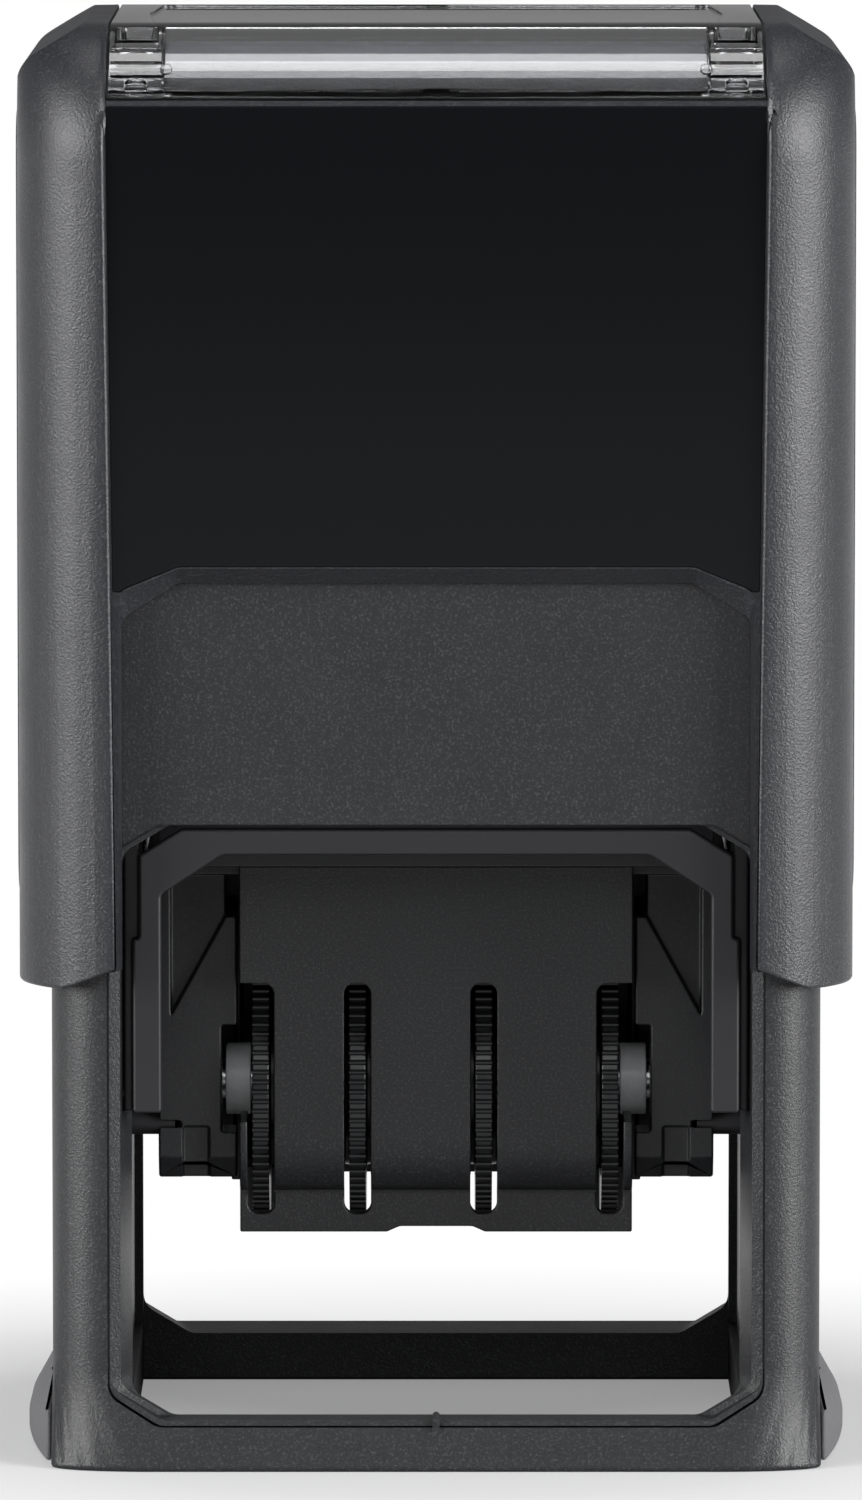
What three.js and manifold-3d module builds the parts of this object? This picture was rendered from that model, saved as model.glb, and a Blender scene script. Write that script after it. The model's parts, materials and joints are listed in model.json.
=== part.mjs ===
// Self-inking date stamp, in millimetres, +Z up, front towards -Y.
// The origin lies on the paper, under the middle of the stamp.
// Pressing the cap carries the carriage down and turns it over, from the ink pad to the paper.

import * as THREE from 'three';
import { mergeVertices } from 'three/addons/utils/BufferGeometryUtils.js';
import Module from 'manifold-3d';

// Driving dimensions
const textPlateWidth = 41; // left to right
const textPlateDepth = 24; // front to back
const pivotHeight = 35.5; // carriage pivot above the paper, cap up
const dieReach = 9.4; // pivot to the printing face
const printGap = 0.9; // printing face to ink pad, cap up
const strokeRest = 0.1; // printing face to paper, cap down
const stampHeight = 101.3;

// Clearances
const runClear = 0.35; // beside anything that slides or turns
const seatGap = 0.2; // round a piece that is fixed in its seat
const capClear = 0.6; // between the columns and the inside of the cap
const cutterOverrun = 1;

// Base
const printSideClear = 1; // text plate to the side of the print window
const baseHalfDepth = 21.2;
const barDepth = 4.4; // front and rear bars of the foot
const baseRim = 2.75; // columns above the roof of the inner housing
const ledgeRise = 1.6; // the housing stands this far above the flip pins
const columnInnerSkin = 0.8;
const columnOuterSkin = 1.4;
const columnEndSkin = 3.2;
const columnFloor = 4.5;
const columnCornerRadius = 4.2;
const footFlare = 2.8; // foot in front of the columns
const footFlatHalf = 20; // straight middle of the foot's front edge
const footBow = 2.4; // how far the foot's corners fall back
const flareTop = 6.8;
const barHeight = 3.5;
const openingCornerRun = 3.5;
const openingCornerRise = 2.1;
const frontPanelThickness = 1.3;

// Rough side grips on the foot
const gripHeight = 3.6;
const gripEdgeHeight = 1.1;
const gripBulge = 2.2;
const gripEndInset = 2.2; // grip shorter than the columns are deep
const gripEndThickness = 0.5;

// Inner housing
const housingWall = 1.15;
const housingEndGap = 0.3;
const housingRoofThickness = 1.2;
const housingRoofInset = 2.6; // roof shorter than the walls
const archInset = 0.4; // behind the face of the base
const archThickness = 1.4;
const archLegWidth = 2;
const archBarHeight = 1.8;
const archCornerRun = 4.3;
const archCornerRise = 2.8;
const archNotchHeight = 7.75; // here the arch is narrower than the opening
const drawerRailWidth = 0.95;
const drawerRailHeight = 1.2;
const drawerRailLift = 7; // rail above the bottom of the drawer
const drawerRailInset = 3.6; // rail shorter than the walls

// Fixed pins that turn the carriage over
const flipPinRadius = 0.9;
const flipPinOffset = 7; // in front of the pivot's path
const flipPinEntry = 1.2; // how far the pin reaches into its groove

// Ink drawer
const padRecess = 0.4; // ink pad above the drawer's lower rim
const padThickness = 3.6;
const padHalfDepth = 12.6;
const drawerSkin = 0.6;
const drawerHeight = 13.2;
const drawerFrontGap = 1;
const drawerWellSide = 3.1;
const drawerWellHalfDepth = 15;
const drawerWellFloor = 9;
const drawerPlateThickness = 1.2;
const drawerPlateDrop = 0.5; // plate below the slanted corners of the cap's cut-out
const drawerGripWidth = 18;
const drawerGripHeight = 6;
const drawerGripDepth = 0.6;

// Cap
const capBottom = 33.9;
const capFrontSkin = 1.2;
const capSideSkin = 1.9;
const capSideBulge = 0.3;
const capCornerRadius = 8;
const capInnerCornerRadius = 4.6;
const wingWidth = 6.1;
const wingStepWidth = 0.4;
const wingStep = 1; // wings in front of the plates
const wingBottomRunShare = 0.46; // of the wing's width
const wingBottomRise = 1.4;
const shoulderRun = 5.2;
const shoulderRise = 2.9;
const shoulderRadius = 3;
const crownRadius = 9.3; // front and back top edges
const roofThickness = 3.5;
const cutoutMargin = 1.3; // from the wings to the cut-out
const cutoutHeight = 28.6;
const cutoutCornerRun = 4;
const cutoutCornerRise = 3;
const rimBevel = 1.1;
const plateThickness = 0.5;
const plateSideMargin = 0.4; // wings to front plate
const plateBottomMargin = 0.4; // rim bevel to front plate
const plateTopDrop = 5.5;
const plateCornerRadius = 1.2;

// Index window in the top of the cap
const wellMargin = 0.5; // from the wings to the window
const wellDepth = 2;
const wellDrop = 5; // the window's lower edge below the top
const coverThickness = 1.3;
const cardThickness = 0.4;
const cardMargin = 2;

// Side grips on the cap
const sideGripRise = 5.6; // above the bottom of the cap
const sideGripTopDrop = 6.3;
const sideGripHalfDepth = 12;
const sideGripProud = 0.3;
const sideGripCornerRadius = 3;

// Yoke
const yokeLegThickness = 2;
const yokeLegHalfDepth = 4.2;
const yokeBridgeThickness = 2;
const yokeBridgeHalfDepth = 5;
const yokeFootDrop = 3.2; // leg below the pivot

// Return springs
const springRadius = 3.2;
const springWire = 0.8;
const springTurns = 7;
const springOffset = 12;
const springBossHeight = 4;

// Carriage, measured from its pivot
const carriageHalfWidth = 19.8;
const pivotRadius = 1.5;
const pivotSeatDepth = 1.8;
const deckTop = 5.9;
const deckThickness = 1.3;
const deckHalfDepth = 8.5;
const deckOpeningHalfWidth = 13.6;
const deckOpeningHalfDepth = 5.2;
const cheekDrop = 17;
const cheekPlateThickness = 2.8;
const cheekHalfDepth = 8.2;
const cheekFootHalfDepth = 7;
const cheekFootChamfer = 1.6;
const cheekInner = 14.2;
const cheekBlockDepth = 4;
const cheekShoulderDrop = 5.2; // cheek block's square shoulder below the pivot
const cheekShoulderInset = 0.9;
const cheekNeckWidth = 1;
const cheekNeckRise = 1.9;
const cheekFootRadius = 1.2;
const sleevePocketWidth = 1.1;
const sleevePocketTop = 5.9;
const sleevePocketBottom = 13.6;
const grooveWidth = 2.5;

// Text plate and rubber die
const textPlateThickness = 1.2;
const dieMargin = 0.8;
const dateWindowHalfWidth = 12.1;
const dateWindowHalfDepth = 3.5;

// Date wheels, bands and the shield in front of them
const wheelDrop = 10.8; // wheel axle below the pivot
const wheelRadius = 10.2;
const wheelRimWidth = 1.2;
const wheelBoss = 0.35; // drum on the plain side of the inner wheels
const toothCount = 90;
const toothDepth = 0.3;
const drumRadius = 6.2;
const axleRadius = 1.5;
const axleSeatDepth = 1.6;
const wheelPlaces = [-12.5, -5.6, 3.4, 12.4];
const bandSides = [1, 1, -1, -1]; // which side of its rim each band runs on
const bandWidths = [4.6, 3.3, 3.3, 6.6];
const bandThickness = 0.7;
const bandRelief = 0.6; // height of the figures on the bands
const bandRimGap = 0.3;
const noseHalfDepth = 1.9;
const noseRadius = 1;
const noseBottom = 2.6;
const noseLugLength = 2.4;
const noseWindowClear = 0.2;
const sleeveRadius = 2.6;
const shieldSetback = 0.3; // the wheels stand this far in front of it
const shieldThickness = 1.2;
const shieldHalfWidth = 14;
const shieldTop = 5.7;
const shieldBendDrop = 13.2; // where the shield starts to curve under the wheels
const shieldLipDrop = 17.8;
const shieldBottomDrop = 20.9;
const shieldLipInset = 2.5;
const shieldSideWall = 0.7;
const shieldSlotWidth = 1.9;
const shieldSlotTop = 2.7;
const shieldSlotBottom = 19.6;
const shieldSideOpenBottom = 12.6;
const shieldRecessWidth = 5.2;
const shieldRecessHeight = 0.4;
const guardClear = 0.5; // wheels to the guard behind them
const guardThickness = 0.8;
const guardHalfWidth = 16.8;
const guardTop = 4;
const guardBottomDrop = 18.8;

// Faceting
const arcSteps = 6;
const roundSides = 24;
const springStepsPerTurn = 10;
const springSides = 5;
const grooveSteps = 12;

// Places that follow from the driving dimensions
const pressTravel = pivotHeight - dieReach - strokeRest;
const padHeight = pivotHeight + dieReach + printGap;
const plateHalf = textPlateWidth / 2;
const printWindowHalfDepth = baseHalfDepth - barDepth;
const footHalfDepth = baseHalfDepth + footFlare;
const gripHalfLength = baseHalfDepth - gripEndInset;
const panelBack = baseHalfDepth - frontPanelThickness;
const housingHalfDepth = panelBack - housingEndGap;
const archFace = baseHalfDepth - archInset;
const housingInner = plateHalf + runClear;
const housingOuter = housingInner + housingWall;
const columnInner = housingOuter + seatGap;
const yokeShaftInner = columnInner + columnInnerSkin;
const yokeInner = yokeShaftInner + runClear;
const yokeOuter = yokeInner + yokeLegThickness;
const yokeShaftOuter = yokeOuter + runClear;
const columnOuter = yokeShaftOuter + columnOuterSkin;
const printWindowHalf = plateHalf + printSideClear;
const capInnerHalf = columnOuter + capClear;
const capHalf = capInnerHalf + capSideSkin;
const capInnerDepth = baseHalfDepth + runClear;
const capFace = capInnerDepth + capFrontSkin;
const capWingFace = capFace + wingStep;
const capReach = capHalf + capSideBulge;
const wingHalfWidth = capHalf - wingWidth;
const cutoutHalf = wingHalfWidth - cutoutMargin;
const cutoutTop = capBottom + cutoutHeight;
const plateHalfWidth = wingHalfWidth - wingStepWidth - plateSideMargin;
const plateBottom = cutoutTop + rimBevel + plateBottomMargin;
const plateTop = stampHeight - plateTopDrop;
const wellHalfWidth = wingHalfWidth - wellMargin;
const wellBottom = stampHeight - wellDrop;
const roofUnderside = stampHeight - roofThickness;
const drawerBottom = padHeight - padRecess;
const drawerTop = drawerBottom + drawerHeight;
const archTop = drawerBottom - runClear;
const archOuter = printWindowHalf - seatGap;
const archOpeningHalf = archOuter - archLegWidth;
const archOpeningTop = archTop - archBarHeight;
const housingRoofBottom = drawerTop + runClear;
const housingRoofTop = housingRoofBottom + housingRoofThickness;
const baseTop = housingRoofTop + baseRim;
const drawerHalf = housingInner - runClear;
const drawerFrontEnd = panelBack - drawerFrontGap;
const drawerBackEnd = housingHalfDepth + seatGap;
const padHalf = drawerHalf - drawerSkin;
const pivotSlotHalf = pivotRadius + runClear;
const flipPinHeight = pivotHeight - pressTravel / 2;
const ledgeHeight = flipPinHeight + flipPinRadius + ledgeRise;
const flipPinTip = carriageHalfWidth - flipPinEntry;
const grooveDepth = flipPinEntry + runClear;
const bridgeBottom = roofUnderside - yokeBridgeThickness;
const crownCentreDepth = capWingFace - crownRadius;
const crownCentreHeight = stampHeight - crownRadius;
const deckBottom = deckTop - deckThickness;
const shieldFace = wheelRadius - shieldSetback;
const axleHalf = carriageHalfWidth - cheekPlateThickness + axleSeatDepth;
const noseTop = dieReach - bandRelief - bandThickness - seatGap;

const wasm = await Module();
wasm.setup();

// Turns a closed geometry into a solid that can be cut and joined
function solidFrom(geometry) {
  const bare = geometry.clone();
  bare.deleteAttribute('normal');
  bare.deleteAttribute('uv');
  const merged = mergeVertices(bare);
  return new wasm.Manifold(new wasm.Mesh({
    numProp: 3,
    vertProperties: Float32Array.from(merged.attributes.position.array),
    triVerts: Uint32Array.from(merged.index.array),
  }));
}

function geometryFrom(solid) {
  const mesh = solid.getMesh();
  const geometry = new THREE.BufferGeometry();
  geometry.setAttribute('position', new THREE.BufferAttribute(mesh.vertProperties, 3));
  geometry.setIndex(new THREE.BufferAttribute(mesh.triVerts, 1));
  return geometry;
}

function joined(solids) {
  return solids.reduce((sum, solid) => sum.add(solid));
}

function cutBy(solid, cutters) {
  return cutters.reduce((rest, cutter) => rest.subtract(cutter), solid);
}

function block([left, right], [front, back], [low, high]) {
  const geometry = new THREE.BoxGeometry(right - left, back - front, high - low);
  geometry.translate((left + right) / 2, (front + back) / 2, (low + high) / 2);
  return solidFrom(geometry);
}

// A range from near to far on one side of the middle, and one on both sides of it
const onSide = (side, near, far) => (side > 0 ? [near, far] : [-far, -near]);
const centred = (half) => [-half, half];

const turnToX = new THREE.Matrix4().set(0, 0, 1, 0, 1, 0, 0, 0, 0, 1, 0, 0, 0, 0, 0, 1);
const turnToY = new THREE.Matrix4().set(0, 1, 0, 0, 0, 0, 1, 0, 1, 0, 0, 0, 0, 0, 0, 1);

function prismUp(outline, low, high) {
  const shape = new THREE.Shape(outline.map(([u, v]) => new THREE.Vector2(u, v)));
  const geometry = new THREE.ExtrudeGeometry(shape, { depth: high - low, bevelEnabled: false });
  geometry.translate(0, 0, low);
  return geometry;
}

// Outlines are given as (x, y), as (y, z) and as (x, z)
const prismZ = (outline, [low, high]) => solidFrom(prismUp(outline, low, high));
const prismX = (outline, [left, right]) => (
  solidFrom(prismUp(outline, left, right).applyMatrix4(turnToX)));
const prismY = (outline, [front, back]) => (
  solidFrom(prismUp(outline.map(([x, z]) => [z, x]), front, back).applyMatrix4(turnToY)));

function rodX(radius, [left, right], y, z, sides = roundSides) {
  const geometry = new THREE.CylinderGeometry(radius, radius, right - left, sides);
  geometry.rotateZ(Math.PI / 2);
  geometry.translate((left + right) / 2, y, z);
  return solidFrom(geometry);
}

function rodZ(radius, [low, high], x, y, sides = roundSides) {
  const geometry = new THREE.CylinderGeometry(radius, radius, high - low, sides);
  geometry.rotateX(Math.PI / 2);
  geometry.translate(x, y, (low + high) / 2);
  return solidFrom(geometry);
}

function arc(centre, radius, from, to, steps = arcSteps) {
  return Array.from({ length: steps + 1 }, (unused, step) => {
    const angle = from + ((to - from) * step) / steps;
    return [centre[0] + radius * Math.cos(angle), centre[1] + radius * Math.sin(angle)];
  });
}

// A rectangle about the origin with round corners, as (u, v) points
function roundedRectangle(halfWidth, halfHeight, radius, steps = arcSteps) {
  const quarter = Math.PI / 2;
  const corners = [[1, 1, 0], [-1, 1, 1], [-1, -1, 2], [1, -1, 3]];
  return corners.flatMap(([sideU, sideV, turn]) => arc(
    [sideU * (halfWidth - radius), sideV * (halfHeight - radius)],
    radius, turn * quarter, (turn + 1) * quarter, steps));
}

const shifted = (outline, u, v) => outline.map((point) => [point[0] + u, point[1] + v]);

// Completes an outline whose right half runs from bottom to top
function mirroredOutline(rightHalf) {
  const leftHalf = rightHalf.map(([u, v]) => [-u, v]).reverse();
  return [...rightHalf, ...leftHalf.filter(([u]) => u !== 0)];
}

// Completes an outline from its corner in front right, which runs from the front to the side
function fourCorners(corner) {
  const back = [...corner].reverse();
  return [
    ...corner.map(([x, y]) => [x, -y]),
    ...back,
    ...corner.map(([x, y]) => [-x, y]),
    ...back.map(([x, y]) => [-x, -y]),
  ];
}

// A closed skin through rings of points that have the same count, whichever way they turn
function loft(rings) {
  const count = rings[0].length;
  const top = (rings.length - 1) * count;
  const points = rings.flat();
  const faces = [];
  for (let low = 0; low < top; low += count) {
    for (let step = 0; step < count; step += 1) {
      const next = (step + 1) % count;
      const high = low + count;
      faces.push([low + step, low + next, high + next], [low + step, high + next, high + step]);
    }
  }
  for (let step = 1; step + 1 < count; step += 1) {
    faces.push([0, step + 1, step], [top, top + step, top + step + 1]);
  }
  const corner = (place) => new THREE.Vector3(...points[place]);
  const volume = faces.reduce((sum, [a, b, c]) => (
    sum + corner(a).dot(corner(b).cross(corner(c)))), 0);
  const outward = volume > 0 ? faces : faces.map(([a, b, c]) => [a, c, b]);
  const geometry = new THREE.BufferGeometry();
  geometry.setAttribute('position', new THREE.Float32BufferAttribute(points.flat(), 3));
  geometry.setIndex(outward.flat());
  return solidFrom(geometry);
}

// Materials
const material = (color, roughness, metalness = 0) => (
  new THREE.MeshStandardMaterial({ color, roughness, metalness }));
const satinBlack = material(0x3a3b40, 0.5);
const matteBlack = material(0x2e2f33, 0.65);
const glossBlack = material(0x17181b, 0.12);
const innerBlack = material(0x232326, 0.55);
const gripGrey = material(0x8b8b8d, 0.85);
const sleeveGrey = material(0x5c6166, 0.4);
const clearCover = material(0xc9cbd0, 0.08);
const cardPaper = material(0xb9bac0, 0.8);
const springSteel = material(0xb0b2b5, 0.3, 1);
const dieRubber = material(0x7a3f35, 0.8);
const inkFelt = material(0x20244a, 0.95);

const stamp = new THREE.Group();
const carriage = new THREE.Group();
carriage.position.set(0, 0, pivotHeight);
stamp.add(carriage);

function place(group, name, solid, finish) {
  const mesh = new THREE.Mesh(geometryFrom(solid), finish);
  mesh.name = name;
  group.add(mesh);
}

const sides = [[-1, 'left'], [1, 'right']];
const ends = [-1, 1]; // front and back

// Base: two hollow columns on a flared foot, joined by the front panel
function footRing(halfDepth, flatHalf, bow, height) {
  const corner = arc([0, 0], 1, Math.PI / 2, 0).map(([across, along]) => [
    flatHalf + (columnOuter - flatHalf) * across,
    halfDepth - bow * (1 - along),
  ]);
  return fourCorners(corner).map(([x, y]) => [x, y, height]);
}

function openingOutline(half, low, high, run, rise) {
  return mirroredOutline([
    [half - run, low], [half, low + rise], [half, high - rise], [half - run, high],
  ]);
}

function makeBase() {
  const columnFlat = columnOuter - columnCornerRadius;
  const upper = [baseHalfDepth, columnFlat, columnCornerRadius];
  const body = loft([
    footRing(footHalfDepth, footFlatHalf, footBow, 0),
    footRing(...upper, flareTop),
    footRing(...upper, baseTop),
  ]);
  const past = footHalfDepth + cutterOverrun;
  const above = baseTop + cutterOverrun;
  const opening = openingOutline(
    printWindowHalf, barHeight, drawerBottom, openingCornerRun, openingCornerRise);
  const cutters = [
    block(centred(printWindowHalf), centred(printWindowHalfDepth), [-cutterOverrun, ledgeHeight]),
    prismY(opening, centred(past)),
    block(centred(columnInner), centred(panelBack), [ledgeHeight, above]),
    block(centred(printWindowHalf), [0, past], [archOpeningTop, above]),
  ];
  for (const [side] of sides) {
    const shaft = onSide(side, yokeShaftInner, yokeShaftOuter);
    const skin = onSide(side, printWindowHalf - cutterOverrun, yokeShaftInner + cutterOverrun);
    const slotTop = pivotHeight + pivotSlotHalf;
    cutters.push(
      block(shaft, centred(baseHalfDepth - columnEndSkin), [columnFloor, above]),
      block(skin, centred(pivotSlotHalf), [pivotHeight - pressTravel - pivotSlotHalf, slotTop]),
      rodX(flipPinRadius + seatGap, skin, -flipPinOffset, flipPinHeight),
    );
  }
  place(stamp, 'base_frame', cutBy(body, cutters), matteBlack);
}

function makeFootGrip(side, label) {
  const bulged = (share, thickness) => {
    const along = share * gripHalfLength;
    const reach = gripEndThickness + thickness * (1 - share * share);
    return [side * (columnOuter + reach), along];
  };
  const shares = Array.from({ length: 2 * arcSteps + 1 }, (unused, step) => step / arcSteps - 1);
  const ring = (thickness, height) => [
    ...shares.map((share) => bulged(share, thickness)),
    [side * columnOuter, gripHalfLength],
    [side * columnOuter, -gripHalfLength],
  ].map(([x, y]) => [x, y, height]);
  const outer = gripBulge - gripEndThickness;
  const grip = loft([ring(outer, 0), ring(outer, gripEdgeHeight), ring(0, gripHeight)]);
  const foot = loft([
    footRing(footHalfDepth, footFlatHalf, footBow, -cutterOverrun),
    footRing(footHalfDepth, footFlatHalf, footBow, 0),
    footRing(baseHalfDepth, columnOuter - columnCornerRadius, columnCornerRadius, flareTop),
  ]);
  place(stamp, `foot_grip_${label}`, grip.subtract(foot), gripGrey);
}

// Inner housing: the dark arch that holds the drawer over the carriage
function makeHousing() {
  const pieces = [
    block(centred(housingOuter), centred(housingHalfDepth - housingRoofInset),
      [housingRoofBottom, housingRoofTop]),
  ];
  const archHole = mirroredOutline([
    [archOpeningHalf, ledgeHeight - cutterOverrun],
    [archOpeningHalf, archOpeningTop - archCornerRise],
    [archOpeningHalf - archCornerRun, archOpeningTop],
  ]);
  const archOutline = mirroredOutline([
    [archOuter, ledgeHeight],
    [archOuter, archTop - openingCornerRise],
    [archOuter - openingCornerRun, archTop],
  ]);
  for (const end of ends) {
    pieces.push(prismY(archOutline, onSide(end, archFace - archThickness, archFace))
      .subtract(prismY(archHole, centred(archFace + cutterOverrun))));
  }
  const railBottom = drawerBottom + drawerRailLift;
  for (const [side] of sides) {
    const wall = onSide(side, housingInner, housingOuter);
    const rail = onSide(side, housingInner - drawerRailWidth, housingInner + cutterOverrun);
    pieces.push(
      block(wall, centred(housingHalfDepth), [ledgeHeight, housingRoofTop]),
      block(rail, centred(housingHalfDepth - drawerRailInset),
        [railBottom, railBottom + drawerRailHeight]),
      rodZ(springRadius - springWire, [housingRoofBottom, housingRoofTop + springBossHeight],
        side * springOffset, 0),
    );
  }
  const cutters = sides.flatMap(([side]) => [
    block(onSide(side, housingInner - cutterOverrun, housingOuter + cutterOverrun),
      centred(pivotSlotHalf), [ledgeHeight - cutterOverrun, pivotHeight + pivotSlotHalf]),
    block(onSide(side, housingInner, archOuter + cutterOverrun),
      [-archFace - cutterOverrun, -housingHalfDepth],
      [archTop - archNotchHeight, archTop + cutterOverrun]),
  ]);
  place(stamp, 'inner_housing', cutBy(joined(pieces), cutters), innerBlack);
}

function makeFlipPin(side, label) {
  const reach = onSide(side, flipPinTip, yokeShaftInner);
  place(stamp, `flip_pin_${label}`, rodX(flipPinRadius, reach, -flipPinOffset, flipPinHeight),
    innerBlack);
}

// Ink drawer, its back plate and the ink pad
function makeDrawer() {
  const body = block(centred(drawerHalf), [-drawerFrontEnd, drawerBackEnd], [drawerBottom, drawerTop]);
  const padTop = padHeight + padThickness;
  const railBottom = drawerBottom + drawerRailLift;
  const grooves = sides.map(([side]) => block(
    onSide(side, housingInner - drawerRailWidth - runClear, drawerHalf + cutterOverrun),
    centred(drawerFrontEnd + cutterOverrun),
    [railBottom - runClear, railBottom + drawerRailHeight + runClear]));
  const cutters = [
    block(centred(padHalf + seatGap), centred(padHalfDepth + seatGap),
      [drawerBottom - cutterOverrun, padTop]),
    block(centred(drawerHalf - drawerWellSide), centred(drawerWellHalfDepth),
      [drawerBottom + drawerWellFloor, drawerTop + cutterOverrun]),
    ...grooves,
  ];
  place(stamp, 'ink_drawer', cutBy(body, cutters), innerBlack);
  place(stamp, 'ink_pad', block(centred(padHalf), centred(padHalfDepth), [padHeight, padTop]), inkFelt);

  const plateBack = drawerBackEnd + drawerPlateThickness;
  const drawerPlateTop = cutoutTop - cutoutCornerRise - drawerPlateDrop;
  const plateSide = printWindowHalf - runClear;
  const plate = prismY(mirroredOutline([
    [plateSide, drawerBottom],
    [plateSide, drawerPlateTop - cutoutCornerRise],
    [plateSide - cutoutCornerRun, drawerPlateTop],
  ]), [drawerBackEnd, plateBack]);
  const gripCentre = (drawerBottom + drawerPlateTop) / 2;
  const hollow = shifted(
    roundedRectangle(drawerGripWidth / 2, drawerGripHeight / 2, drawerGripHeight / 4), 0, gripCentre);
  place(stamp, 'drawer_back_plate',
    plate.subtract(prismY(hollow, [plateBack - drawerGripDepth, plateBack + cutterOverrun])), matteBlack);
}

// Side outline of the cap as (y, z), set in from the outside
function crownOutline(inset) {
  const radius = crownRadius - inset;
  return mirroredOutline([
    [crownCentreDepth + radius, capBottom - cutterOverrun],
    ...arc([crownCentreDepth, crownCentreHeight], radius, 0, Math.PI / 2),
  ]);
}

// A curved layer of the crown, from one inset to a deeper one, above a level
function crownLayer(outer, inner, half, low) {
  const above = block(centred(half), centred(capWingFace + cutterOverrun),
    [low, stampHeight + cutterOverrun]);
  return prismX(crownOutline(outer), centred(half))
    .subtract(prismX(crownOutline(inner), centred(half + cutterOverrun)))
    .intersect(above);
}

function capPlan() {
  const centre = [capHalf - capCornerRadius, capWingFace - capCornerRadius];
  const start = Math.acos((wingHalfWidth - centre[0]) / capCornerRadius);
  const corner = [
    [wingHalfWidth - wingStepWidth, capFace],
    ...arc(centre, capCornerRadius, start, 0, 2 * arcSteps),
    [capReach, 0],
  ];
  const outline = fourCorners(corner);
  return outline.filter(([x, y], place) => place === 0
    || x !== outline[place - 1][0] || y !== outline[place - 1][1]);
}

function capFrontOutline() {
  const slope = Math.atan2(shoulderRise, shoulderRun);
  const turn = Math.PI / 2 - slope;
  const centre = [capReach - shoulderRadius,
    stampHeight - shoulderRise - shoulderRadius * Math.tan(turn / 2)];
  const wingInner = wingHalfWidth - wingStep;
  return mirroredOutline([
    [wingInner, capBottom + wingBottomRise],
    [wingInner + (capReach - wingInner) * wingBottomRunShare, capBottom],
    [capReach, capBottom],
    ...arc(centre, shoulderRadius, 0, turn),
    [capReach - shoulderRun - cutterOverrun, stampHeight + cutterOverrun * Math.tan(slope)],
  ]);
}

function cutoutRing(grow, y) {
  const half = cutoutHalf + grow;
  const high = cutoutTop + grow;
  return [
    [half, capBottom - cutterOverrun],
    [half, high - cutoutCornerRise],
    [half - cutoutCornerRun, high],
    [cutoutCornerRun - half, high],
    [-half, high - cutoutCornerRise],
    [-half, capBottom - cutterOverrun],
  ].map(([x, z]) => [x, y, z]);
}

function makeCap() {
  const below = capBottom - cutterOverrun;
  const far = capWingFace + cutterOverrun;
  const wide = capReach + cutterOverrun;
  const outside = prismZ(capPlan(), [below, stampHeight + cutterOverrun])
    .intersect(prismY(capFrontOutline(), centred(far)))
    .intersect(prismX(crownOutline(0), centred(wide)));

  const innerWidth = mirroredOutline([
    [capInnerHalf, below - cutterOverrun],
    [capInnerHalf, roofUnderside - roofThickness],
    [yokeOuter + runClear, roofUnderside],
  ]);
  const shaftTop = baseTop + pressTravel + cutterOverrun;
  const innerCrown = crownRadius - roofThickness;
  const innerDepth = mirroredOutline([
    [capInnerDepth, below - cutterOverrun],
    [capInnerDepth, shaftTop],
    ...arc([crownCentreDepth, crownCentreHeight], innerCrown, 0, Math.PI / 2),
  ]);
  const inside = prismZ(roundedRectangle(capInnerHalf, capInnerDepth, capInnerCornerRadius),
    [below - cutterOverrun, roofUnderside])
    .intersect(prismY(innerWidth, centred(far)))
    .intersect(prismX(innerDepth, centred(wide)));

  const well = crownLayer(-cutterOverrun, wellDepth, wellHalfWidth, wellBottom);
  const cutters = [inside, well];
  for (const end of ends) {
    const outerRim = cutoutRing(rimBevel, end * capFace);
    const pastRim = cutoutRing(rimBevel, end * far);
    const innerRim = cutoutRing(0, end * (capFace - rimBevel));
    const through = cutoutRing(0, 0);
    cutters.push(loft([through, innerRim, outerRim, pastRim]));
    cutters.push(capPlateSolid(end, seatGap));
  }
  place(stamp, 'cap_shell', cutBy(outside, cutters), satinBlack);
}

// Glossy plate set into the cap, or its pocket when it is grown by a gap
function capPlateSolid(end, grow) {
  const outline = shifted(
    roundedRectangle(plateHalfWidth + grow, (plateTop - plateBottom) / 2 + grow, plateCornerRadius),
    0, (plateTop + plateBottom) / 2);
  const back = capFace - plateThickness;
  return prismY(outline, onSide(end, back, grow ? capFace + cutterOverrun : capFace));
}

function makeCapPlates() {
  place(stamp, 'front_plate', capPlateSolid(-1, 0), glossBlack);
  place(stamp, 'back_plate', capPlateSolid(1, 0), glossBlack);
}

// Index card and the clear cover over it, both bent over the crown
function makeIndexWindow() {
  const cover = crownLayer(0, coverThickness, wellHalfWidth - seatGap, wellBottom + seatGap);
  const card = crownLayer(wellDepth - cardThickness, wellDepth, wellHalfWidth - cardMargin,
    wellBottom + cardMargin);
  place(stamp, 'index_cover', cover, clearCover);
  place(stamp, 'index_card', card, cardPaper);
}

function makeSideGrip(side, label) {
  const low = capBottom + sideGripRise;
  const high = stampHeight - sideGripTopDrop;
  const outline = shifted(
    roundedRectangle(sideGripHalfDepth, (high - low) / 2, sideGripCornerRadius), 0, (high + low) / 2);
  const slab = prismX(outline, onSide(side, capHalf - cutterOverrun, capReach + sideGripProud));
  const wing = prismZ(capPlan(), [low - cutterOverrun, high + cutterOverrun]);
  place(stamp, `side_grip_${label}`, slab.subtract(wing), satinBlack);
}

// Yoke that hangs in the cap and carries the carriage
function makeYoke() {
  const bridge = block(centred(yokeOuter), centred(yokeBridgeHalfDepth), [bridgeBottom, roofUnderside]);
  const legs = sides.map(([side]) => block(onSide(side, yokeInner, yokeOuter),
    centred(yokeLegHalfDepth), [pivotHeight - yokeFootDrop, bridgeBottom + yokeBridgeThickness / 2]));
  const holes = sides.map(([side]) => rodX(pivotRadius + seatGap,
    onSide(side, yokeInner - cutterOverrun, yokeOuter + cutterOverrun), 0, pivotHeight));
  place(stamp, 'yoke', cutBy(joined([bridge, ...legs]), holes), innerBlack);
}

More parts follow.
